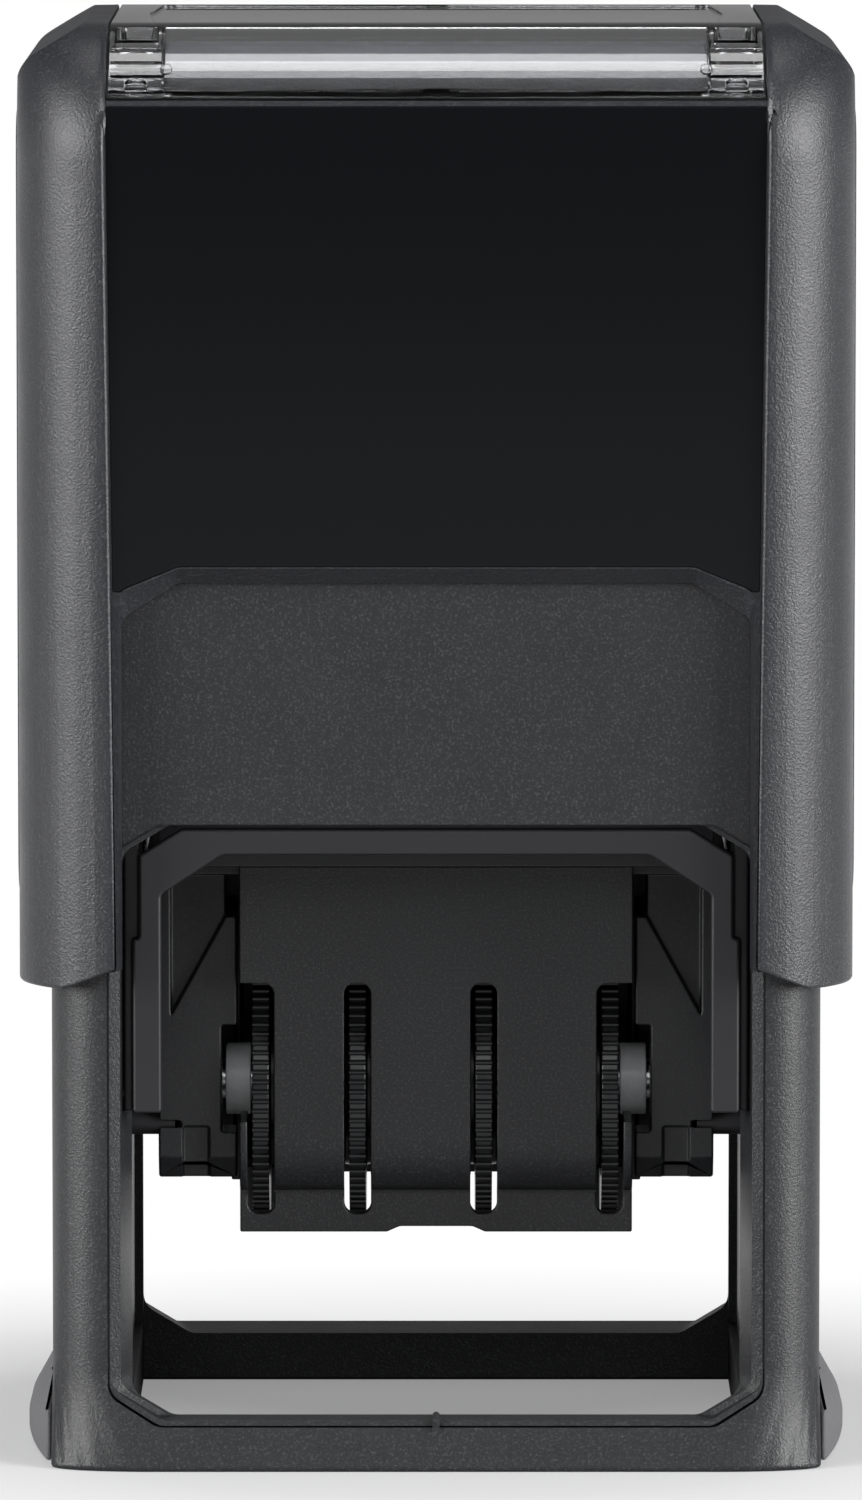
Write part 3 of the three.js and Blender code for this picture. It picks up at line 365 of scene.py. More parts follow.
def object_from(edited, name="part"):
    mesh = bpy.data.meshes.new(name)
    edited.to_mesh(mesh)
    edited.free()
    return link(bpy.data.objects.new(name, mesh))


def solid(points, faces):
    """A closed mesh from points and faces, with its doubles merged and its faces outwards."""
    edited = bmesh.new()
    corners = [edited.verts.new(point) for point in points]
    for face in faces:
        edited.faces.new([corners[place] for place in face])
    bmesh.ops.remove_doubles(edited, verts=edited.verts, dist=WELD)
    bmesh.ops.connect_verts_nonplanar(edited, angle_limit=FLAT_ANGLE, faces=edited.faces)
    bmesh.ops.recalc_face_normals(edited, faces=edited.faces)
    return object_from(edited)


def loft(rings):
    """A closed skin through rings of points that have the same count."""
    count = len(rings[0])
    points = [point for ring in rings for point in ring]
    faces = [tuple(reversed(range(count))), tuple(range(len(points) - count, len(points)))]
    for low in range(0, len(points) - count, count):
        for step in range(count):
            near, far = low + step, low + (step + 1) % count
            faces.append((near, far, far + count, near + count))
    return solid(points, faces)


AXES = {
    'X': lambda u, v, along: (along, u, v),
    'Y': lambda u, v, along: (u, along, v),
    'Z': lambda u, v, along: (u, v, along),
}


def ring(outline, axis, along):
    return [AXES[axis](u, v, along) for u, v in outline]


def prism(outline, axis, low, high):
    return loft([ring(outline, axis, low), ring(outline, axis, high)])


def block(xs, ys, zs):
    return prism([(xs[0], ys[0]), (xs[1], ys[0]), (xs[1], ys[1]), (xs[0], ys[1])], 'Z', *zs)


def rod(radius, axis, low, high, u, v, sides=ROD_SIDES):
    return prism(arc((u, v), radius, 0, 2 * math.pi * (1 - 1 / sides), sides - 1), axis, low, high)


def on_side(side, near, far):
    return (near, far) if side > 0 else (-far, -near)


def centred(half):
    return (-half, half)


def settle(piece):
    """Applies what the modifiers make."""
    graph = bpy.context.evaluated_depsgraph_get()
    result = bpy.data.meshes.new_from_object(piece.evaluated_get(graph))
    stale = piece.data
    piece.modifiers.clear()
    piece.data = result
    bpy.data.meshes.remove(stale)
    return piece


def combine(piece, others, operation):
    for other in others:
        modifier = piece.modifiers.new("combine", 'BOOLEAN')
        modifier.operation = operation
        modifier.object = other
        modifier.solver = 'EXACT'
    settle(piece)
    for other in others:
        discard(other)
    return piece


def carve(piece, cutters):
    return combine(piece, cutters, 'DIFFERENCE')


def merge(piece, others):
    return combine(piece, others, 'UNION')


def common(piece, others):
    return combine(piece, others, 'INTERSECT')


def tidy_faces(piece):
    """Merges doubles and joins the faces that lie in one plane."""
    edited = opened(piece.data)
    bmesh.ops.remove_doubles(edited, verts=edited.verts, dist=WELD)
    bmesh.ops.dissolve_limit(edited, angle_limit=FLAT_ANGLE, verts=edited.verts, edges=edited.edges)
    edited.to_mesh(piece.data)
    edited.free()
    return piece


def everywhere(middle):
    return 1


def weigh_edges(piece, share):
    """Gives each sharp edge the share of the rounding that its middle asks for."""
    edited = opened(piece.data)
    weight = edited.edges.layers.float.new("bevel_weight_edge")
    for edge in edited.edges:
        if edge.is_manifold and edge.calc_face_angle() > SHARP_ANGLE:
            edge[weight] = share((edge.verts[0].co + edge.verts[1].co) / 2)
    edited.to_mesh(piece.data)
    edited.free()


def soften(piece, width, segments=3, share=everywhere):
    """Rounds the sharp edges as a mould does, and shades the rest smooth."""
    tidy_faces(piece)
    if width:
        weigh_edges(piece, share)
        bevel = piece.modifiers.new("edges", 'BEVEL')
        bevel.width = width
        bevel.segments = segments
        bevel.limit_method = 'WEIGHT'
        bevel.use_clamp_overlap = False
        bevel.miter_outer = 'MITER_ARC'
        settle(piece)
    piece.data.shade_smooth()
    piece.data.set_sharp_from_angle(angle=SHARP_ANGLE)
    normals = piece.modifiers.new("shading", 'WEIGHTED_NORMAL')
    normals.keep_sharp = True
    return settle(piece)


def cad_copy(node):
    """A copy of a node of the frame that can be worked on."""
    return tidy_faces(object_from(opened(frame["nodes"][node].data)))


def finished(piece, name, material, node):
    """Names a piece, gives it its finish and hands it to the body that it moves with."""
    piece.name = name
    piece.data.name = name
    piece.data.materials.clear()
    piece.data.materials.append(material)
    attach(piece, BODY_OF[node])
    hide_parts(node)
    return piece


# Materials
def add(tree, kind, inputs=None, **settings):
    """Adds a node: a socket, or a node's first output, is linked, and other inputs are set."""
    made = tree.nodes.new(kind)
    for key, value in settings.items():
        setattr(made, key, value)
    for key, value in (inputs or {}).items():
        if isinstance(value, bpy.types.Node):
            value = value.outputs[0]
        if isinstance(value, bpy.types.NodeSocket):
            tree.links.new(value, made.inputs[key])
        else:
            made.inputs[key].default_value = value
    return made


def new_material(name):
    material = bpy.data.materials.new(name)
    material.use_nodes = True
    material.node_tree.nodes.clear()
    return material, material.node_tree


def close_material(tree, shader):
    add(tree, 'ShaderNodeOutputMaterial', {'Surface': shader})


def grain_noise(tree, grain, detail=3.0):
    """Noise on object coordinates whose lumps are as wide as the grain."""
    place = add(tree, 'ShaderNodeTexCoord').outputs['Object']
    return add(tree, 'ShaderNodeTexNoise', {
        'Vector': place, 'Scale': 1 / grain, 'Detail': detail, 'Roughness': 0.6})


PLASTIC_IOR = 1.5
BROAD = 30  # patches of uneven gloss are this many grains wide
BROAD_LEVELS = (0.3, 0.7)  # noise levels of the glossiest and the dullest patches
# The light specks are random tone, brightened further by painted glints where a finish asks for them
SPECKS = (0.52, 0.72)  # noise levels where the light specks start and are full
UNEVEN = 0.07  # share by which the gloss varies


def grained(name, tint, roughness, grain, relief, painted_glint=0.0, specular=0.5, shift=0.06):
    """An opaque finish with a fine grain, which lightens and roughens it in places; painted glints
    brighten its light specks.
    """
    material, tree = new_material(name)
    noise = grain_noise(tree, grain)
    broad = grain_noise(tree, grain * BROAD, 2.0)
    # Light specks: random tone plus the painted glint, which stands in for the sparkle of light on the
    # grain
    light = tuple(min(1, part * (1 + shift) + painted_glint) for part in tint)
    dark = tuple(part * (1 - shift) for part in tint)
    speck = add(tree, 'ShaderNodeMapRange', {
        'Value': noise, 'From Min': SPECKS[0], 'From Max': SPECKS[1]})
    mixed = add(tree, 'ShaderNodeMix', {
        'Factor': speck, 6: (*dark, 1), 7: (*light, 1)}, data_type='RGBA')
    gloss = add(tree, 'ShaderNodeMapRange', {
        'Value': broad, 'From Min': BROAD_LEVELS[0], 'From Max': BROAD_LEVELS[1],
        'To Min': roughness * (1 - UNEVEN), 'To Max': roughness * (1 + UNEVEN)})
    bump = add(tree, 'ShaderNodeBump', {'Height': noise, 'Distance': relief, 'Strength': 1.0})
    shader = add(tree, 'ShaderNodeBsdfPrincipled', {
        'Base Color': mixed.outputs[2], 'Roughness': gloss,
        'Normal': bump, 'Specular IOR Level': specular, 'IOR': PLASTIC_IOR})
    close_material(tree, shader)
    return material


# Colour, roughness, width and height of the grain in mm, and what else differs from the usual
GRAINED = {
    # ABS cap: the mould is spark-eroded, so the skin is satin with fine specks, brightened as painted
    # glints
    "spark_eroded_abs": ("shell", 0.38, 0.18, 0.045, {"painted_glint": 0.026, "specular": 0.45}),
    # ABS base and shield: the same plastic from a matter mould, with more specks, brightened as painted
    # glints
    "coarse_matt_abs": ("base", 0.42, 0.18, 0.045, {"painted_glint": 0.028, "specular": 0.4}),
    # Plates moulded in a mirror-polished tool: deep black, with a clean reflection
    "polished_abs": ("plate", 0.09, 2.0, 0.0006, {"specular": 0.25, "shift": 0.02}),
    # Polyamide that slides inside: dull, darker and nearly without grain
    "dull_polyamide": ("inside", 0.5, 0.4, 0.004, {"specular": 0.4}),
    # Carriage: satin acetal that slides on its pins, with a faint grain and faint painted glints
    "satin_acetal": ("carriage", 0.42, 0.2, 0.014, {"painted_glint": 0.012, "specular": 0.4}),
    # Thumb wheels: smooth acetal, glossier on the ribs, which fingers polish
    "polished_acetal": ("wheel", 0.3, 0.5, 0.004, {}),
    # Foot grips: grey thermoplastic rubber from a coarse mould, fully matt
    "coarse_rubber": ("grip", 0.85, 0.45, 0.06, {"specular": 0.3}),
    # Sleeves turned from pale grey acetal, slightly shiny
    "turned_acetal": ("sleeve", 0.35, 0.5, 0.002, {}),
    # Index card: uncoated paper, matt with faint fibres
    "uncoated_paper": ("card", 0.8, 0.35, 0.012, {"specular": 0.2, "shift": 0.03}),
    # Die and bands: moulded natural rubber, matt and slightly mottled
    "moulded_rubber": ("rubber", 0.7, 0.5, 0.01, {"specular": 0.3}),
    # Ink pad: needled felt soaked in ink, nearly black with matt fibres
    "inked_felt": ("ink", 0.95, 0.3, 0.12, {"specular": 0.2, "shift": 0.35}),
}


# Springs and axle: drawn steel wire, bright, with a gloss that the die left a little uneven
def drawn_steel():
    material, tree = new_material("drawn_steel")
    noise = grain_noise(tree, 0.4 * MM)
    gloss = add(tree, 'ShaderNodeMapRange', {'Value': noise, 'To Min': 0.18, 'To Max': 0.36})
    shader = add(tree, 'ShaderNodeBsdfPrincipled', {
        'Base Color': (*srgb("#C3C5C8"), 1), 'Metallic': 1.0, 'Roughness': gloss})
    close_material(tree, shader)
    return material


# Index cover: clear polystyrene from a polished mould, with faint flow marks
def clear_polystyrene():
    material, tree = new_material("clear_polystyrene")
    flow = grain_noise(tree, 6 * MM, 1.0)
    bump = add(tree, 'ShaderNodeBump', {'Height': flow, 'Distance': 0.01 * MM, 'Strength': 0.5})
    shader = add(tree, 'ShaderNodeBsdfPrincipled', {
        'Base Color': (*srgb("#F4F5F7"), 1), 'Roughness': 0.04, 'IOR': 1.58,
        'Transmission Weight': 1.0, 'Normal': bump})
    close_material(tree, shader)
    return material


FLOOR_FADE = (34 * MM, 74 * MM)  # where the floor turns white, from the middle of the stamp
FLOOR_BEHIND = (-200 * MM, -50 * MM)  # where its reflection turns white, from front to back
FLOOR_GLOW = 0.25  # lifts the grey floor that the camera sees


# Studio floor: white card that keeps the shadow near the stamp and runs out into white.
# Glossy faces mirror that white only behind the stamp
def studio_floor():
    material, tree = new_material("studio_floor")
    place = add(tree, 'ShaderNodeTexCoord').outputs['Object']
    away = add(tree, 'ShaderNodeVectorMath', {0: place}, operation='LENGTH')
    far = add(tree, 'ShaderNodeMapRange', {
        'Value': away.outputs['Value'], 'From Min': FLOOR_FADE[0], 'From Max': FLOOR_FADE[1]})
    shade = bpy.context.scene.stamp_colours.floor
    matt = add(tree, 'ShaderNodeBsdfDiffuse', {'Color': (*shade, 1)})
    path = add(tree, 'ShaderNodeLightPath').outputs
    seen = path['Is Camera Ray']
    lift = add(tree, 'ShaderNodeMath', {0: seen, 1: FLOOR_GLOW}, operation='MULTIPLY')
    glow = add(tree, 'ShaderNodeEmission', {'Strength': lift})
    near = add(tree, 'ShaderNodeAddShader', {0: matt, 1: glow})
    white = add(tree, 'ShaderNodeEmission', {'Strength': 1.0})
    depth = add(tree, 'ShaderNodeSeparateXYZ', {'Vector': place}).outputs['Y']
    behind = add(tree, 'ShaderNodeMapRange', {
        'Value': depth, 'From Min': FLOOR_BEHIND[0], 'From Max': FLOOR_BEHIND[1]})
    reflected = add(tree, 'ShaderNodeMath', {0: path['Is Glossy Ray'], 1: behind}, operation='MULTIPLY')
    visible = add(tree, 'ShaderNodeMath', {0: seen, 1: reflected}, operation='MAXIMUM')
    shown = add(tree, 'ShaderNodeMath', {
        0: visible, 1: path['Is Transmission Ray']}, operation='MAXIMUM')
    share = add(tree, 'ShaderNodeMath', {0: shown, 1: far}, operation='MULTIPLY')
    both = add(tree, 'ShaderNodeMixShader', {'Fac': share, 1: near, 2: white})
    close_material(tree, both)
    return material


MAKERS = (drawn_steel, clear_polystyrene, studio_floor)


def finish(name):
    """The material of that name, made when it is first asked for."""
    found = bpy.data.materials.get(name)
    if found:
        return found
    if name in GRAINED:
        tint, roughness, grain, relief, rest = GRAINED[name]
        colours = bpy.context.scene.stamp_colours
        return grained(name, getattr(colours, tint), roughness, grain * MM, relief * MM, **rest)
    return {maker.__name__: maker for maker in MAKERS}[name]()


def dress(node, name, material, edge):
    """A copy of a node of the frame with moulded edges, in its place."""
    piece = soften(cad_copy(node), edge)
    return finished(piece, name, finish(material), node)


# Base
def foot_ring(half_depth, flat_half, bow, height):
    half_width = upper("base_frame").x
    corner = [(flat_half + (half_width - flat_half) * across, half_depth - bow * (1 - along))
              for across, along in arc((0, 0), 1, math.pi / 2, 0)]
    return [(x, y, height) for x, y in four_corners(corner)]


def opening_outline(sizes, half, low, high):
    return filleted(mirrored([
        (half - sizes.corner_run, low), (half, low + sizes.corner_rise),
        (half, high - sizes.corner_rise), (half - sizes.corner_run, high),
    ]), sizes.corner_round)


class STAMP_OT_base(bpy.types.Operator):
    """Build the base: two hollow columns on a flared foot, joined by the front panel"""
    bl_idname = "stamp.base"
    bl_label = "Base"

    def execute(self, context):
        sizes = context.scene.stamp_base
        foot_depth = upper("base_frame").y
        top = upper("base_frame").z
        column = (sizes.half_depth, upper("base_frame").x - sizes.corner_radius, sizes.corner_radius)
        body = loft([
            foot_ring(foot_depth, sizes.flat_half, sizes.bow, 0),
            foot_ring(foot_depth, sizes.flat_half, sizes.bow, sizes.toe),
            foot_ring(*column, sizes.flare_top),
            foot_ring(*column, top),
        ])
        window = upper("drawer_back_plate").x + sizes.run
        panel_low = lower("ink_drawer").z
        column_inner = upper("inner_housing").x + sizes.seat
        past = foot_depth + OVERRUN
        above = top + OVERRUN
        panel_back = sizes.half_depth - sizes.panel_thickness
        cutters = [
            block(centred(window), centred(sizes.half_depth - sizes.bar_depth), (-OVERRUN, sizes.ledge)),
            prism(opening_outline(sizes, window, sizes.bar_height, panel_low), 'Y', *centred(past)),
            block(centred(column_inner), centred(panel_back), (sizes.ledge, above)),
            block(centred(window + sizes.recess), centred(sizes.half_depth - sizes.recess_end),
                  (sizes.shaft_floor, sizes.ledge + WELD)),
            block(centred(window), (0, past), (panel_low - sizes.arch_rise, above)),
            prism(opening_outline(sizes, window, sizes.bar_height - sizes.bar_dip, panel_low), 'Y',
                  sizes.bar_lip - sizes.half_depth, sizes.bar_depth - sizes.half_depth + OVERRUN),
        ]
        wide = window + sizes.mouth
        slant = sizes.line_side - sizes.line_width
        depths = (sizes.half_depth - sizes.bar_depth, sizes.half_depth - sizes.chamfer,
                  sizes.half_depth, past)
        outlines = [opening_outline(sizes, half, sizes.bar_height, panel_low)
                    for half in (window, wide, wide + slant, wide + slant)]
        cutters += [loft([ring(outline, 'Y', end * depth) for outline, depth in zip(outlines, depths)])
                    for end in ENDS]
        line = sizes.line_width / 2
        grooves = [opening_outline(sizes, wide + sizes.line_side + grow,
                                   sizes.bar_height - sizes.line_below - grow, panel_low + grow)
                   for grow in (line, -line)]
        floor_of_line = -sizes.half_depth + sizes.line_depth
        groove = carve(prism(grooves[0], 'Y', -past, floor_of_line),
                       [prism(grooves[1], 'Y', -past - OVERRUN, 0)])
        for side in SIDES:
            shaft = on_side(side, column_inner + sizes.inner_skin, upper("yoke").x + sizes.run)
            skin = on_side(side, window - OVERRUN, column_inner + sizes.inner_skin + OVERRUN)
            pin_low, pin_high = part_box("pivot_pin_" + SIDE_NAMES[side])
            half_slot = (pin_high.z - pin_low.z) / 2 + sizes.run
            slot_top = (pin_high.z + pin_low.z) / 2 + half_slot
            flip_low, flip_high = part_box("flip_pin_" + SIDE_NAMES[side])
            pressed = PRESS["range_m"][1]
            cutters += [
                block(shaft, centred(sizes.half_depth - sizes.end_skin), (sizes.shaft_floor, above)),
                block(skin, centred(half_slot), (slot_top - 2 * half_slot - pressed, slot_top)),
                rod((flip_high.z - flip_low.z) / 2 + sizes.seat, 'X', *skin,
                    (flip_low.y + flip_high.y) / 2, (flip_low.z + flip_high.z) / 2),
            ]
        carve(body, [*cutters, groove])
        half_mark = sizes.mark_width / 2
        mark = shifted(rounded_rectangle(half_mark, sizes.mark_height / 2, half_mark / NEARLY_ROUND),
                       0, sizes.bar_height - sizes.mark_drop)
        merge(body, [prism(mark, 'Y', -sizes.half_depth - sizes.mark_proud,
                           -sizes.half_depth + sizes.bar_lip / 2)])
        soften(body, sizes.edge, share=lambda middle: middle.z < sizes.toe + WELD
               or abs(middle.x) > wide + sizes.line_side + sizes.line_width)
        finished(body, "base_moulding", finish("coarse_matt_abs"), "base_frame")
        return {'FINISHED'}


GRIP_LEVELS = (0.35, 0.7, 1)  # sections of a grip's dome, as shares of its height


class STAMP_OT_foot_grips(bpy.types.Operator):
    """Build the grey grips on both sides of the foot"""
    bl_idname = "stamp.foot_grips"
    bl_label = "Foot grips"

    def execute(self, context):
        sizes = context.scene.stamp_grips
        base = context.scene.stamp_base
        side_face = upper("base_frame").x
        foot_depth = upper("base_frame").y
        shares = [step / ARC_STEPS for step in range(-ARC_STEPS, ARC_STEPS + 1)]
        swell = sizes.bulge - sizes.end
        levels = [(swell, 0), (swell, sizes.edge_height)]
        levels += [(swell * (1 - share ** 2), sizes.edge_height
                    + (sizes.height - sizes.edge_height) * share) for share in GRIP_LEVELS]
        for side in SIDES:
            rings = []
            for thickness, height in levels:
                outer = [(side * (side_face + sizes.end + thickness * (1 - share * share)),
                          share * sizes.half_length, height) for share in shares]
                rings.append(outer + [(side * (side_face - sizes.end), end * sizes.half_length, height)
                                      for end in (1, -1)])
            grip = loft(rings)
            column = (base.half_depth, side_face - base.corner_radius, base.corner_radius)
            foot = loft([
                foot_ring(foot_depth, base.flat_half, base.bow, -OVERRUN),
                foot_ring(foot_depth, base.flat_half, base.bow, base.toe),
                foot_ring(*column, base.flare_top),
            ])
            carve(grip, [foot])
            soften(grip, sizes.edge)
            node = "foot_grip_" + SIDE_NAMES[side]
            finished(grip, node + "_rubber", finish("coarse_rubber"), node)
        return {'FINISHED'}


class STAMP_OT_inner_parts(bpy.types.Operator):
    """Build the housing, yoke, pins, drawer and ink pad inside the stamp"""
    bl_idname = "stamp.inner_parts"
    bl_label = "Inner parts"

    def execute(self, context):
        edge = context.scene.stamp_wheels.edge
        for node, name, material in (
                ("inner_housing", "housing_moulding", "dull_polyamide"),
                ("yoke", "yoke_moulding", "dull_polyamide"),
                ("ink_drawer", "drawer_moulding", "dull_polyamide"),
                ("drawer_back_plate", "drawer_plate_moulding", "coarse_matt_abs")):
            dress(node, name, material, edge * 2)
        pad = dress("ink_pad", "felt_pad", "inked_felt", edge * 4)
        for side in SIDES:
            label = SIDE_NAMES[side]
            for pin in ("flip_pin_", "pivot_pin_"):
                dress(pin + label, pin + "turned_" + label, "dull_polyamide", edge)
        return {'FINISHED'}


# Cap
def cap_half(sizes):
    return upper("cap_shell").x - sizes.side_inset


def crown_centre(sizes):
    """Middle of the crown's front edge as (depth, height)."""
    return (upper("cap_shell").y - sizes.crown_radius, upper("cap_shell").z - sizes.crown_radius)


def face_half(sizes, height):
    """Half of the face between the wings, which close in towards the bottom."""
    high = upper("front_plate")
    drop = (high.z - height) / (high.z - lower("cap_shell").z)
    return high.x + sizes.wing_spread - sizes.wing_draft * drop


def cap_ring(sizes, wing_face, height):
    """Outline of the cap at a height, where its wings reach as far as wing_face."""
    reach = face_half(sizes, height) + sizes.wing_slant
    half = cap_half(sizes)
    face = min(upper("cap_shell").y - sizes.wing_step, wing_face)
    centre = (half - sizes.corner_radius, wing_face - sizes.corner_radius)
    start = math.acos((reach - centre[0]) / sizes.corner_radius)
    corner = [(reach - sizes.wing_slant, face)]
    corner += arc(centre, sizes.corner_radius, start, 0)
    outline = four_corners(corner + [(half + sizes.side_bulge, 0)])
    return [(x, y, height) for place, (x, y) in enumerate(outline) if (x, y) != outline[place - 1]]


def cap_rings(sizes):
    wing_face = upper("cap_shell").y
    rings = [cap_ring(sizes, wing_face, lower("cap_shell").z - OVERRUN)]
    for depth, height in arc(crown_centre(sizes), sizes.crown_radius, 0, math.pi / 2, CROWN_STEPS):
        rings.append(cap_ring(sizes, depth, height))
    return rings


def cap_front(sizes):
    reach = cap_half(sizes) + sizes.side_bulge
    low = lower("cap_shell").z
    top = upper("cap_shell").z
    slope = math.atan2(sizes.shoulder_rise, sizes.shoulder_run)
    turn = math.pi / 2 - slope
    centre = (reach - sizes.shoulder_radius,
              top - sizes.shoulder_rise - sizes.shoulder_radius * math.tan(turn / 2))
    tip = cap_half(sizes) - sizes.wing_width - sizes.wing_step
    return mirrored([
        (tip, low + sizes.tip_rise), (tip + sizes.tip_run, low), (reach, low),
        *arc(centre, sizes.shoulder_radius, 0, turn),
        (reach - sizes.shoulder_run - OVERRUN, top + OVERRUN * math.tan(slope)),
    ])


def crown(sizes, inset, low):
    """Side outline of the cap as (y, z), set in from its outside."""
    radius = sizes.crown_radius - inset
    centre = crown_centre(sizes)
    return mirrored([(centre[0] + radius, low), *arc(centre, radius, 0, math.pi / 2, CROWN_STEPS)])


def crown_layer(sizes, outer, inner, half, low):
    """A curved layer of the crown, from one inset to a deeper one, above a level."""
    below = lower("cap_shell").z - OVERRUN
    layer = prism(crown(sizes, outer, below), 'X', *centred(half))
    carve(layer, [prism(crown(sizes, inner, below - OVERRUN), 'X', *centred(half + OVERRUN))])
    deep = upper("cap_shell").y + OVERRUN * 2
    return common(layer, [block(centred(half + OVERRUN * 2), centred(deep),
                                (low, upper("cap_shell").z + OVERRUN * 2))])


def cutout_ring(sizes, beside, above, depth):
    """Outline of the cut-out in the cap, grown beside and above."""
    half = cap_half(sizes) - sizes.wing_width - sizes.cutout_margin
    high = lower("cap_shell").z + sizes.cutout_height + above
    below = lower("cap_shell").z - sizes.cutout_height
    rise = sizes.cutout_rise - sizes.rim_lift * above / sizes.rim
    outline = filleted(mirrored([
        (half + beside, below), (half + beside, high - rise), (half - sizes.cutout_run, high),
    ]), sizes.cutout_round)
    return ring(outline, 'Y', depth)


PLATE_SIDE = 2  # pocket gaps between a plate and the wings
PLATE_RIM = 2.5  # pocket gaps between a plate and the rim of the cut-out


def plate_body(sizes, grow, near, far):
    """A glossy plate, or its pocket: it fills the face down to the rim of the cut-out."""
    low = lower("cap_shell").z + sizes.cutout_height - sizes.plate_skirt - grow
    high = upper("front_plate").z + grow
    inset = grow - sizes.pocket * PLATE_SIDE
    outline = filleted(mirrored([
        (face_half(sizes, low) + inset, low), (face_half(sizes, high) + inset, high),
    ]), sizes.plate_radius + grow)
    clear = sizes.pocket * PLATE_RIM - grow
    past = [edge + math.copysign(OVERRUN, edge) for edge in (-far, far)]
    hole = loft([cutout_ring(sizes, sizes.rim_side + clear, sizes.rim + clear, depth) for depth in past])
    return carve(prism(outline, 'Y', near, far), [hole])


class STAMP_OT_cap(bpy.types.Operator):
    """Build the cap with its wings, rim, crown and pockets"""
    bl_idname = "stamp.cap"
    bl_label = "Cap"

    def execute(self, context):
        sizes = context.scene.stamp_cap
        low = lower("cap_shell").z
        top = upper("cap_shell").z
        reach = upper("cap_shell").x
        wing_face = upper("cap_shell").y
        face = wing_face - sizes.wing_step
        deep = wing_face + OVERRUN
        shell = loft(cap_rings(sizes))
        common(shell, [prism(cap_front(sizes), 'Y', *centred(deep))])

        inner_half = cap_half(sizes) - sizes.side_skin
        inner_depth = face - sizes.front_skin
        ceiling = top - sizes.roof
        yoke = upper("yoke").x + context.scene.stamp_base.run
        inside = prism(rounded_rectangle(inner_half, inner_depth, sizes.inner_radius), 'Z',
                       low - OVERRUN * 2, ceiling)
        width = mirrored([(inner_half, low - OVERRUN * 3), (inner_half, ceiling - sizes.roof),
                          (yoke, ceiling)])
        depth = mirrored([
            (inner_depth, low - OVERRUN * 3), (inner_depth, low + sizes.shaft_height),
            *arc(crown_centre(sizes), sizes.crown_radius - sizes.roof, 0, math.pi / 2)])
        common(inside, [prism(width, 'Y', *centred(deep)), prism(depth, 'X', *centred(reach + OVERRUN))])

        cover_low, cover_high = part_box("index_cover")
        gap = context.scene.stamp_window.gap
        well = crown_layer(sizes, -OVERRUN, sizes.well_depth, cover_high.x + gap, cover_low.z - gap)
        cutters = [inside, well]
        for end in ENDS:
            cutters.append(loft([
                cutout_ring(sizes, 0, 0, 0),
                cutout_ring(sizes, 0, 0, end * (face - sizes.rim)),
                cutout_ring(sizes, sizes.rim_side, sizes.rim, end * face),
                cutout_ring(sizes, sizes.rim_side, sizes.rim, end * deep),
            ]))
            cutters.append(plate_body(sizes, sizes.pocket, end * lower("back_plate").y, end * deep))
        carve(shell, cutters)

        def share(middle):
            if abs(middle.x) > face_half(sizes, middle.z) + sizes.wing_slant / 2:
                return 1
            return sizes.fine_edge / sizes.edge if middle.z > upper("front_plate").z + OVERRUN / 2 else 0

        soften(shell, sizes.edge, share=share)
        finished(shell, "cap_moulding", finish("spark_eroded_abs"), "cap_shell")

        for node in ("front_plate", "back_plate"):
            box_low, box_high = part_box(node)
            plate = plate_body(sizes, 0, box_low.y, box_high.y)
            soften(plate, sizes.pocket / 4)
            finished(plate, node + "_gloss", finish("polished_abs"), node)
        for side in SIDES:
            node = "side_grip_" + SIDE_NAMES[side]
            box_low, box_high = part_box(node)
            outline = shifted(
                rounded_rectangle(box_high.y, (box_high.z - box_low.z) / 2, sizes.grip_radius),
                0, (box_high.z + box_low.z) / 2)
            grip_face = cap_half(sizes) + sizes.grip_relief
            grip = prism(outline, 'X', *on_side(side, grip_face - sizes.side_skin, grip_face))
            soften(grip, sizes.pocket)
            finished(grip, node + "_moulding", finish("spark_eroded_abs"), node)
        return {'FINISHED'}


def on_crown(cap, angle, end, outline, low, high):
    """A prism on the crown: u runs sideways, v up the crown, and low and high lie out of it."""
    radius = cap.crown_radius
    out = Vector((0, math.cos(angle), math.sin(angle)))
    along = Vector((0, -math.sin(angle), math.cos(angle)))
    centre = Vector((0, *crown_centre(cap)))
    rings = []
    for level in (low, high):
        points = [centre + out * (radius + level) + along * v + Vector((u, 0, 0)) for u, v in outline]
        rings.append([(point.x, end * point.y, point.z) for point in points])
    return loft(rings)


def crown_patch(cap, end, middle, angles, half_width, radius, low, high=OVERRUN):
    """A rounded patch on the crown between two angles in degrees."""
    low_angle, high_angle = angles
    half_height = cap.crown_radius * math.radians(high_angle - low_angle) / 2
    rounding = min(radius, half_height * JUST_UNDER, half_width * JUST_UNDER)
    outline = shifted(rounded_rectangle(half_width, half_height, rounding), middle, 0)
    return on_crown(cap, math.radians((low_angle + high_angle) / 2), end, outline, low, high)


# Forms of the clear cover: their lower and upper ends on the crown, in degrees from the front
NOTCH_ENDS = (29, 32.5)
FRAME_ENDS = (57, 77)
PEEP_ENDS = (31, 37.5)
SEAM_ENDS = (29, 78)
FOOT_ENDS = (27, 29.8)
KNOB_ENDS = (39.8, 45.6)
RIB_STARTS = (38.6, 46.4, 54.6)
RIB_SPAN = 0.9
FOOT_SHIFTS = (-0.8, 0.9)  # from the middle of a clip, in half widths of its hole
RAMP_RUN = 7  # run of the sunk top's slanted ends over its depth
FORM_DEPTH = 0.9  # deepest form, as a share of the cover's thickness


